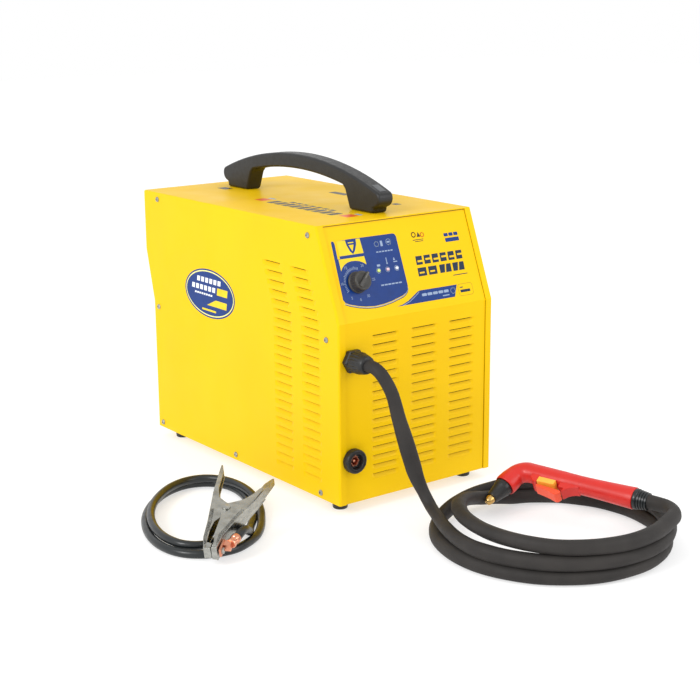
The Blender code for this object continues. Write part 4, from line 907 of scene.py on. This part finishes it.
def make_banner():
    """Blue banner along the foot of the sloping panel, and a framed box over its end."""
    banner = [(-34.5, 12.1), (-24, 13.6), (-12, 17.6), (0, 24), (8, 28.4), (12.3, 29.7),
              (84, 29.4), (75.5, 11.9)]
    print_film("banner", [banner], INK_BLUE)
    lines = [rounded(15 + 10.5 * k, 20.5, 24 + 10.5 * k, 24.5, 1.2) for k in range(5)]
    lines += [rounded(53, 15.5, 66, 17.2, 0.6)]
    lines += stroke([(-24, 11.9), (-9, 16.3), (3, 22.9), (11, 27.8)], 0.9)
    lines += hoop(74.5, 21.5, 5, 3.6)
    print_film("banner_marks", lines, INK_PALE, top=0.16)
    frame_line = rounded(85, 11.5, 113, 29.3, 4.5)
    print_film("box_outline", stroke(frame_line, 0.5, closed=True), INK_GREY, top=0.1)
    inside = [rounded(88.5, 23.5, 94.5, 25, 0.5), rounded(88.5, 16.5, 107.5, 20.5, 1)]
    print_film("box_marks", inside, INK_NAVY)


def make_gap_shades():
    """Painted shade: a thin dark film along the gap between the cover's front edges and the recessed panel,
    standing in for the shadow in that gap.
    """
    edge = 1000 * HALF - 12
    # the film's dark colour is painted shade in the gap, not a coloured joint
    shade = ("painted_gap_shade", (150, 112, 6))
    upright = frame_matrix((0, FRONT_Y + FACE_RECESS, CASE_BOTTOM), (1, 0, 0), (0, 0, 1))
    low_gap_shades = [rounded(side * edge - 0.8, 1, side * edge + 0.8, 265.5, 0.2)
                  for side in (-1, 1)]
    print_film("lower_gap_shades", low_gap_shades, shade, upright, 0.1)
    high_gap_shades = [rounded(side * edge - 0.8, 0.5, side * edge + 0.8, 139, 0.2)
                   for side in (-1, 1)]
    high_gap_shades.append(rounded(-edge, 139.6, edge, 141.2, 0.2))
    print_film("upper_gap_shades", high_gap_shades, shade, top=0.1)


def make_side_label():
    """Oval label on the left side."""
    place = frame_matrix((-HALF, FRONT_Y + 0.338, CASE_BOTTOM + 0.257), (0, -1, 0), (0, 0, 1))
    print_film("side_label_rim", [oval(0, 0, 73, 39)], INK_BLUE, place, 0.08)
    print_film("side_label_line", [oval(0, 0, 70, 36.5)], ("bright", (240, 236, 150)), place, 0.12)
    print_film("side_label_field", [oval(0, 0, 68, 34.6)], INK_BLUE, place, 0.16)
    rows = []
    for y, x0, count, step, width, height in ((16.5, -36, 6, 12, 8.5, 8),
                                              (3.5, -52, 6, 12, 8.5, 8),
                                              (-4, -44, 8, 6.6, 5, 3)):
        for k in range(count):
            x = x0 + step * k
            rows.append([(x, y), (x + width, y), (x + width + 1.2, y + height), (x + 1.2, y + height)])
    print_film("side_label_rows", rows, ("white", (236, 240, 244)), place, 0.2)
    blocks = [[(21.5, 1), (51, 1), (53, 12.5), (23.5, 12.5)],
              [(-8, -19), (48, -19), (50, -8), (18, -8)],
              rounded(-23, -28.5, 18, -25.5, 0.8)]
    print_film("side_label_blocks", blocks, INK_YELLOW, place, 0.24)


def make_top_marks():
    """Generic marks on the top sheet beside the handle."""
    place = frame_matrix((0, FRONT_Y, CASE_TOP), (1, 0, 0), (0, 1, 0))
    bars = []
    for k in range(9):
        start = 118 + 19.5 * k
        bars.append(rounded(-68, start, -46, start + 13.5, 1.2))
    bars += [rounded(-42, 150 + 17 * k, -34, 161 + 17 * k, 1) for k in range(7)]
    bars += [rounded(70, 270, 84, 312, 1.5), rounded(68, 136, 80, 150, 1.5),
             rounded(-40, 450, -24, 474, 1.5)]
    print_film("top_bars", bars, INK_BLACK, place, 0.12)
    bright = [rounded(-62, 87, -40, 108, 1.5), rounded(-66, 303, -46, 325, 1.5)]
    print_film("top_bright_marks", bright, INK_ORANGE, place, 0.12)
    pale = [rounded(-36, 90, -30, 106, 1), rounded(-42, 304, -36, 322, 1)]
    print_film("top_pale_marks", pale, INK_PALE, place, 0.12)


# ---------------------------------------------------------------- handle, knob and fittings
def make_handle():
    """Moulded bow: rounded grip, a foot at each end and an inlaid strip above each foot."""
    outer_bow = (0.560, 0.071)
    inner_bow = (0.600, 0.048)

    def bow_height(bow, u):
        """Height above the top sheet of a bow, given as its radius and crown height."""
        radius, crown = bow
        return crown - radius + math.sqrt(radius ** 2 - u ** 2)

    outer = [(u, bow_height(outer_bow, u)) for u in np.linspace(-0.206, 0.206, 41)]
    inner = [(u, bow_height(inner_bow, u)) for u in np.linspace(0.121, -0.121, 31)]
    nose = millimetres([(209.2, 29), (210.6, 25), (210.6, 20), (208.6, 15), (205, 11.5), (200, 9.2),
                        (196.5, 8), (195.5, 0.3)])
    foot = [(0.139, GAP), (0.1275, 0.029)]
    mirror = [(-u, z) for u, z in reversed(nose + foot)]
    centre = FRONT_Y + HANDLE_CENTRE
    outline = [(centre + u, CASE_TOP + z) for u, z in outer + nose + foot + inner + mirror]
    handle = add_piece("handle_bow", prism(outline, "X", -0.014, 0.014), "black_plastic",
                       replaces=("carry_handle",))
    round_edges(handle, 0.0075, 6, 60)

    section = millimetres([(-5.8, -1), (5.8, -1), (5.8, 0.3), (4.64, 0.7), (-4.64, 0.7), (-5.8, 0.3)])
    strips = []
    for start, end in ((-0.203, -0.184), (0.184, 0.203)):
        strips.append(loft([[(x, centre + u, CASE_TOP + bow_height(outer_bow, u) + z) for x, z in section]
                            for u in np.linspace(start, end, 12)]))
    add_piece("handle_strips", merged(strips), "black_plastic", smooth=40,
              mat=surface("strip_grey", (88, 90, 92), 0.4, mottle=80.0, grain=0.2))


def make_knob():
    """Fluted knob with a raised pointer bar and a printed line on it."""
    bar_base, bar_top = 0.0150, 0.0196
    grey = surface("knob_grey", (56, 54, 50), 0.46, other=(48, 46, 43), mottle=120.0, grain=0.3,
                   grain_scale=1500.0)
    place = SLOPE @ Matrix.Translation((KNOB_X, KNOB_UP_SLOPE, 0)) @ Matrix.Rotation(KNOB_POINTER, 4, "Z")
    profile = millimetres([(0, 0.6), (15.8, 0.6), (15.8, 2.4), (15.2, 3.1), (14.7, 3.6), (14.6, 4.2),
                           (14.5, 5), (14.1, 14), (13.9, 15.6), (13.4, 16.5), (12.4, 17.2), (11.2, 17.2),
                           (10.4, 16.6), (0, 16.4)])
    body = turned(profile, 144, flutes=(24, 0.0007, 0.0041, 0.0150))
    add_piece("knob_body", body, "black_plastic", body="knob", smooth=CREASE, place=place, mat=grey,
              replaces=("current_knob",))
    bar = millimetres([(-3, -11.8), (3, -11.8), (2.2, 14.6), (-2.2, 14.6)])
    pointer = add_piece("knob_pointer", prism(bar, "Z", bar_base, bar_top), "black_plastic", body="knob",
                        mat=grey, place=place)
    round_edges(pointer, 0.0009, 3, 40)
    line = millimetres(rounded(-0.5, 3, 0.5, 13.8, 0.3))
    add_piece("knob_line", prism(line, "Z", bar_top, bar_top + 0.0001), "black_plastic", body="knob",
              mat=ink("knob_mark", (118, 116, 110)), place=place)


def make_gland():
    """Ribbed dome nut of the torch cable's gland; its hexagon is the CAD nut."""
    profile = millimetres([(0, 21.8), (11.1, 21.8), (11.1, -9), (15.7, -9.3), (16, -10.5), (16, -20),
                           (15.7, -21.5), (15.2, -23.5), (14.6, -27), (13.8, -31), (13, -34),
                           (12.2, -35.7), (11.2, -36.3), (0, -36.3)])
    body = turned(profile, 144, at(FITTING_X, 0, GLAND_HEIGHT), "Y", flutes=(18, 0.0011, -0.0260, -0.0100))
    add_piece("gland_dome", body, "black_plastic", smooth=CREASE, replaces=("torch_gland_body",))


def make_socket():
    """Bayonet socket: insulating collar, metal sleeve with slits and a keyway."""
    centre = at(FITTING_X, 0, SOCKET_HEIGHT)
    profile = millimetres([(8.5, 23.8), (11.1, 23.8), (11.1, -0.3), (17.8, -0.3), (18, -1.2), (18, -8),
                           (17.7, -9.4), (17, -10.5), (16, -11.1), (12.8, -11.2), (11.8, -10.8),
                           (11.2, -9.8), (10.4, -4), (8.5, -3.6)])
    collar = turned(profile, 96, centre, "Y", closed=True, flutes=(12, 0.0006, -0.0090, -0.0012))
    add_piece("socket_collar", collar, "black_plastic", smooth=CREASE, replaces=("earth_socket_body",))
    sleeve = millimetres([(6, 21), (8.3, 21), (8.3, -4.2), (7.8, -4.8), (6.6, -4.8), (6, -4)])
    contact = turned(sleeve, 48, centre, "Y", closed=True, flutes=(6, 0.0012, -0.0060, 0.0))
    add_piece("socket_contact", contact, "copper", smooth=CREASE, replaces=("earth_socket_contact",))
    key = [box(centre + Vector((-0.0012, -0.0062, 0.0082)), centre + Vector((0.0012, 0.001, 0.0098))),
           turned(millimetres([(0, 4), (2.4, 4), (2.4, -3), (1.4, -4.2), (0, -4.6)]), 24,
                  centre, "Y")]
    add_piece("socket_pin", merged(key), "copper", smooth=CREASE)


def make_screw_recess_shades():
    """Dark cross in each cover screw's head, painted shade standing in for its cross recess; each block's
    face stands just proud of the head.
    """
    reach, slit, depth, proud = 0.0016, 0.00035, 0.0006, 0.00005
    crosses = []
    for word, side in (("left", -1), ("right", 1)):
        for name in ("top_rear", "top_front", "mid_front", "mid_rear", "low_rear", "low_mid", "low_front"):
            low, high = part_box(f"cover_screw_{word}_{name}")
            head = high.x if side > 0 else low.x
            middle = (low + high) / 2
            near, far = sorted((head - side * depth, head + side * proud))
            for across, upward in ((reach, slit), (slit, reach)):
                crosses.append(box((near, middle.y - across, middle.z - upward),
                                   (far, middle.y + across, middle.z + upward)))
    # the crosses' dark colour is painted shade; the heads have no real recess
    add_piece("screw_recess_shades", merged(crosses), "zinc_steel",
              mat=surface("painted_recess_shade", (60, 58, 54), 0.5, metallic=0.8, mottle=200.0, grain=0.1))


# ---------------------------------------------------------------- torch
def torch_ring(centre, direction, half_width, half_height, flat_below=None, count=40):
    """An oval ring square to a direction in the torch's XZ plane, flattened below a level."""
    direction = direction.normalized()
    upward = Vector((-direction.z, 0, direction.x))
    ring = [centre + Vector((0, half_width * math.cos(a), 0)) + upward * (half_height * math.sin(a))
            for a in np.linspace(0, 2 * math.pi, count, endpoint=False)]
    if flat_below is not None:
        for point in ring:
            point.z = max(point.z, flat_below)
    return ring


def torch_skin(grip_length, bend):
    """Moulded head, elbow and grip as one smooth skin, with a flat bed for the safety slide."""
    head = Vector((math.cos(bend), 0, -math.sin(bend)))
    elbow_radius = 0.020
    tangent = elbow_radius / math.tan(bend / 2)
    rings = []
    for distance, half in ((HEAD_LENGTH - 0.0022, 0.0140), (HEAD_LENGTH, 0.0152),
                           (HEAD_LENGTH - 0.0004, 0.0161), (HEAD_LENGTH - 0.0014, 0.0165),
                           (0.031, 0.0168), (0.026, 0.0166), (0.020, 0.0162),
                           (tangent + 0.001, 0.0157)):
        rings.append(torch_ring(head * distance, -head, half * 0.94, half))
    centre = Vector((tangent, 0, -elbow_radius))
    for angle in np.linspace(math.pi - bend, 0, 12)[1:-1]:
        direction = Vector((math.cos(angle), 0, math.sin(angle)))
        point = centre + Vector((-math.sin(angle), 0, math.cos(angle))) * elbow_radius
        rings.append(torch_ring(point, direction, 0.0142, 0.0152))
    stations = millimetres([
        (27.2, 13.8, 14.7), (39.4, 13.7, 14.6), (40.2, 13.7, 14.6), (52, 13.6, 14.5), (71.8, 13.5, 14.3),
        (72.8, 13.5, 14.2), (82, 13.3, 13.8), (95, 13.2, 13.5), (110, 13.3, 13.5), (125, 13.6, 13.8),
        (140, 14, 14.2), (155, 14.5, 14.8), (170, 14.9, 15.4)])
    stations += [(tangent + 0.004, 0.0139, 0.0148), (grip_length - 0.0012, 0.0152, 0.0159),
                 (grip_length - 0.0003, 0.0149, 0.0156), (grip_length, 0.0143, 0.0150)]
    for x, half_width, half_height in sorted(stations):
        floor = SLIDE_BED_LEVEL if SLIDE_BED[0] < x < SLIDE_BED[1] else None
        rings.append(torch_ring(Vector((x, 0, 0)), Vector((1, 0, 0)), half_width, half_height, floor))
    return loft(rings)


def make_grip(place, grip_length, bend):
    """Red grip with the two blocks of its trigger guard."""
    grip = add_piece("torch_grip", torch_skin(grip_length, bend), "red_plastic", smooth=50, place=place,
                     replaces=("torch_grip_left", "torch_grip_right"))
    front_guard = millimetres([(25, -8), (27.5, -15.5), (31, -20), (34.5, -22.2), (39.9, -23.6),
                               (39.9, -8)])
    rear_guard = millimetres([(72.6, -8), (72.6, -19.6), (81.2, -19.8), (81.2, -27.2), (83.2, -25),
                              (86.2, -20.6), (90, -17.2), (96, -14.4), (102, -13.2), (102, -8)])
    guard = merged([prism(front_guard, "Y", -0.0112, 0.0112), prism(rear_guard, "Y", -0.0088, 0.0088)])
    guard_piece = add_piece("torch_guard", guard, "red_plastic", place=place)
    round_edges(guard_piece, 0.0018, 4, 50)
    return [grip, guard_piece]


def make_torch_controls(place):
    """Orange trigger and the ribbed amber safety slide."""
    trigger = millimetres([(40.5, -23.6), (72, -25.2), (80.3, -26.2), (80.3, -30), (78.5, -33.8),
                           (76, -35), (73, -34.7), (64, -31.8), (54, -29.8), (40.5, -27.6)])
    lever = add_piece("trigger_lever", prism(trigger, "Y", -0.0085, 0.0085), "orange_plastic",
                      body="trigger", place=place, replaces=("torch_trigger",))
    round_edges(lever, 0.0010, 3, 40)
    slide = millimetres([(40.4, -12.9), (40.4, -22), (67, -21.5), (67, -12.9)])
    ribs = [box((0.0435 + 0.0032 * k, -0.0127, -0.0205), (0.0447 + 0.0032 * k, 0.0127, -0.0145))
            for k in range(7)]
    slider = add_piece("safety_slide_button", merged([prism(slide, "Y", -0.0125, 0.0125)] + ribs),
                       "amber_plastic", body="safety_slide", place=place, replaces=("torch_safety_slide",))
    round_edges(slider, 0.0004, 2, 40)
    return [lever, slider]


def make_torch_tip(place, tip_distance):
    """Black shield cup and brass nozzle, along the place's Z axis."""
    cup_start = HEAD_LENGTH + GAP
    cup_end = cup_start + CUP_LENGTH
    cup = [(0, cup_start), (0.0132, cup_start), (0.0137, cup_start + 0.0006), (0.0136, cup_start + 0.0060),
           (0.0131, cup_start + 0.0074), (0.0126, cup_start + 0.0082), (0.0094, cup_end - 0.0040),
           (0.0090, cup_end - 0.0016), (0.0083, cup_end), (0.0068, cup_end), (0.0066, cup_end - 0.0012),
           (0, cup_end - 0.0012)]
    cup_skin = turned(cup, 72, flutes=(18, 0.0006, cup_start + 0.0005, cup_start + 0.0065))
    cup_piece = add_piece("shield_cup", cup_skin, "black_plastic", smooth=CREASE, place=place,
                          replaces=("torch_shield_cup",))
    nozzle = [(0, cup_end - 0.0008), (0.0062, cup_end - 0.0008), (0.0065, cup_end + 0.0006)]
    nozzle += [(radius, tip_distance - before_tip) for radius, before_tip in millimetres([
        (6.4, 6.2), (6.1, 4.4), (5.4, 2.2), (4.4, 0.6), (3.2, 0), (1.2, 0), (1, 3), (0, 3)])]
    nozzle_piece = add_piece("cutting_nozzle", turned(nozzle, 48), "brass", smooth=CREASE, place=place,
                             replaces=("torch_nozzle",))
    return [cup_piece, nozzle_piece]


def make_torch_boot(place, grip_length):
    """Ribbed strain relief behind the grip, and the seam of the grip's halves."""
    start = grip_length + GAP
    boot = [(0, start), (0.0143, start), (0.0146, start + 0.0008), (0.0146, start + 0.0042),
            (0.0140, start + 0.0052)]
    for k in range(4):
        near = start + 0.0058 + 0.0036 * k
        radius = 0.0138 - 0.0005 * k
        boot += [(radius - 0.0010, near), (radius - 0.0010, near + 0.0008), (radius, near + 0.0014),
                 (radius - 0.0001, near + 0.0030)]
    boot += [(0.0112, start + 0.0202), (0, start + 0.0202)]
    boot_piece = add_piece("strain_relief_boot", turned(boot, 48, axis="X"), "black_rubber", smooth=CREASE,
                           place=place, replaces=("torch_strain_relief",))
    seam = [torch_ring(Vector((x, 0, 0)), Vector((1, 0, 0)), 0.0001, half, count=4) for x, half in
            ((0.096, 0.01357), (0.125, 0.01386), (0.155, 0.01487), (grip_length - 0.002, 0.01592))]
    seam_piece = add_piece("grip_seam", loft(seam), "red_plastic", place=place,
                           mat=surface("seam_shadow", (120, 20, 16), 0.6, grain=0.0))
    return [boot_piece, seam_piece]


def make_torch():
    """The whole torch, lying across the coil."""
    place, grip_length, tip_distance, bend = torch_axes()
    head = Vector((math.cos(bend), 0, -math.sin(bend)))
    return (make_grip(place, grip_length, bend) + make_torch_controls(place)
            + make_torch_tip(place @ along_matrix((0, 0, 0), head), tip_distance)
            + make_torch_boot(place, grip_length))


# ---------------------------------------------------------------- earth clamp and plug
def make_plug():
    """Ribbed bayonet plug with a brass pin."""
    heading = Vector((math.cos(PLUG_HEADING), math.sin(PLUG_HEADING), 0))
    place = along_matrix(at(*PLUG_REAR, PLUG_RADIUS + GAP), heading)
    body = millimetres([(0, 0), (7.8, 0), (8.5, 0.6), (8.8, 4), (9.5, 10), (12.8, 14.5), (13.8, 16),
                        (14, 17.5), (14, 41), (13.6, 43), (11.2, 45.8), (10, 46), (0, 46)])
    plug = add_piece("plug_body", turned(body, 96, flutes=(16, 0.0012, 0.0172, 0.0415)), "black_rubber",
                     smooth=CREASE, place=place, replaces=("earth_plug",))
    pin = millimetres([(0, 45.5), (6, 45.5), (6, 60), (5.6, 61.2), (4.8, 62), (0, 62)])
    pin_piece = add_piece("plug_pin", turned(pin, 32), "brass", smooth=CREASE, place=place)
    return [plug, pin_piece]


def channel(outer, half_widths, side):
    """A folded strip along an arm's outer edge, with side walls that shallow towards its ends."""
    count = len(outer)
    rings = []
    for i, (x, y) in enumerate(outer):
        before, after = Vector(outer[max(i - 1, 0)]), Vector(outer[min(i + 1, count - 1)])
        along = (after - before).normalized()
        inward = Vector((along.y, -along.x)) * side
        wall = CLAMP_END_WALL if i in (0, count - 1) else CLAMP_WALL
        width = half_widths[i]
        section = [(0, -width), (0, width), (wall, width), (wall, width - CLAMP_SHEET),
                   (CLAMP_SHEET, width - CLAMP_SHEET), (CLAMP_SHEET, CLAMP_SHEET - width),
                   (wall, CLAMP_SHEET - width), (wall, -width)]
        rings.append([Vector((x + inward.x * depth, y + inward.y * depth, z)) for depth, z in section])
    return loft(rings)


def make_clamp_arm(word, side, body):
    """One stamped arm: folded channel, two cheeks round the rivet and a toothed jaw."""
    half_widths, outer, cheek = CLAMP_ARMS[word]
    width = half_widths[0]
    parts = [channel(outer, half_widths, side)]
    for face in (-1, 1):
        low, high = sorted((face * width, face * (width - CLAMP_SHEET)))
        parts.append(prism(cheek, "Z", low, high))
    root = abs(outer[0][1]) - CLAMP_SHEET / 2
    teeth = [(CLAMP_JAW + 0.0005 + 0.0025 * k, side * (0.0004, 0.0018)[k % 2]) for k in range(5)]
    heel = CLAMP_JAW + 0.0130
    tooth_outline = [(teeth[0][0], side * root)] + teeth + [(heel, side * 0.0060), (heel, side * root)]
    parts.append(prism(tooth_outline, "Z", 0.0008 - width, width - 0.0008))
    arm = add_piece(f"clamp_{word}_stamping", merged(parts), "zinc_steel", body=body, place=clamp_place(),
                    replaces=(f"clamp_{word}_arm",))
    return round_edges(arm, 0.0004, 2, 35)


def make_lug():
    """Copper cable lug: crimped barrel and a flattened tongue bolted outside the fixed jaw."""
    heading = Vector((math.cos(LUG_SPLAY), -math.sin(LUG_SPLAY), 0))
    barrel = turned(millimetres([(0, 7), (6.4, 7), (7, 7.8), (7, 10.5), (6.5, 11.6), (6.5, 15.5),
                                 (7, 16.6), (7, 22.2), (6.6, 23), (0, 23)]),
                    48, flutes=(6, 0.0007, 0.0110, 0.0160))
    barrel.transform(along_matrix(LUG_FOOT, heading))
    tongue = box(LUG_FOOT + Vector((-0.013, 0.0058, -0.0060)), LUG_FOOT + Vector((0.009, 0.0086, 0.0060)))
    heel = box(LUG_FOOT + Vector((-0.002, -0.0040, -0.0050)), LUG_FOOT + Vector((0.009, 0.0065, 0.0050)))
    bolt = turned(millimetres([(0, 0), (4.2, 0), (4.2, 2.6), (3.6, 3.2), (0, 3.2)]), 6)
    bolt.transform(along_matrix(LUG_FOOT + Vector((-0.0075, 0.0060, 0)), (0, -1, 0)))
    add_piece("cable_lug", merged([barrel, tongue, heel]), "copper", smooth=CREASE, place=clamp_place(),
              replaces=("clamp_cable_lug",))
    add_piece("lug_bolt", bolt, "zinc_steel", smooth=30, place=clamp_place())


# ---------------------------------------------------------------- CAD pieces that stay in view
def dress_cad_nodes():
    """Each CAD solid in the record gets its slot's finish, and a few listed pieces a small edge radius."""
    softened = {"torch_gland_nut": 0.0006, "mains_switch_frame": 0.0008, "mains_switch_rocker": 0.0008,
                "fan_frame": 0.001, "compressor_head": 0.0008, "heatsink": 0.0003}
    for subpart in frame["record"]["subparts"]:
        node = frame["nodes"][subpart["node"]]
        node.data.materials.clear()
        node.data.materials.append(FINISHES[subpart["material_slot"]])
        if subpart["node"] in softened:
            round_edges(node, softened[subpart["node"]], 2, 35)


# ---------------------------------------------------------------- the whole object
make_camera()
make_studio()
FINISHES = {slot: surface(slot, colour, roughness, **settings)
            for slot, (colour, roughness, settings) in SLOT_FINISHES.items()}
dress_cad_nodes()
torch_cable_piece, torch_cable_line = make_torch_cable()
earth_cable_piece, earth_cable_line = make_earth_cable()
torch_pieces = make_torch()
plug_pieces = make_plug()
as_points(thinned(torch_cable_line, 4))
make_lug()
make_clamp_arm("fixed", -1, "unit")
make_clamp_arm("moving", 1, "clamp_jaw")
make_louvres()
make_louvre_shade_sheets()
make_gap_shades()
make_handle()
make_knob()
make_gland()
make_socket()
make_screw_recess_shades()
make_label_ground()
make_label_picture()
make_label_marks()
make_title_marks()
make_corner_marks()
make_banner()
make_side_label()
make_top_marks()
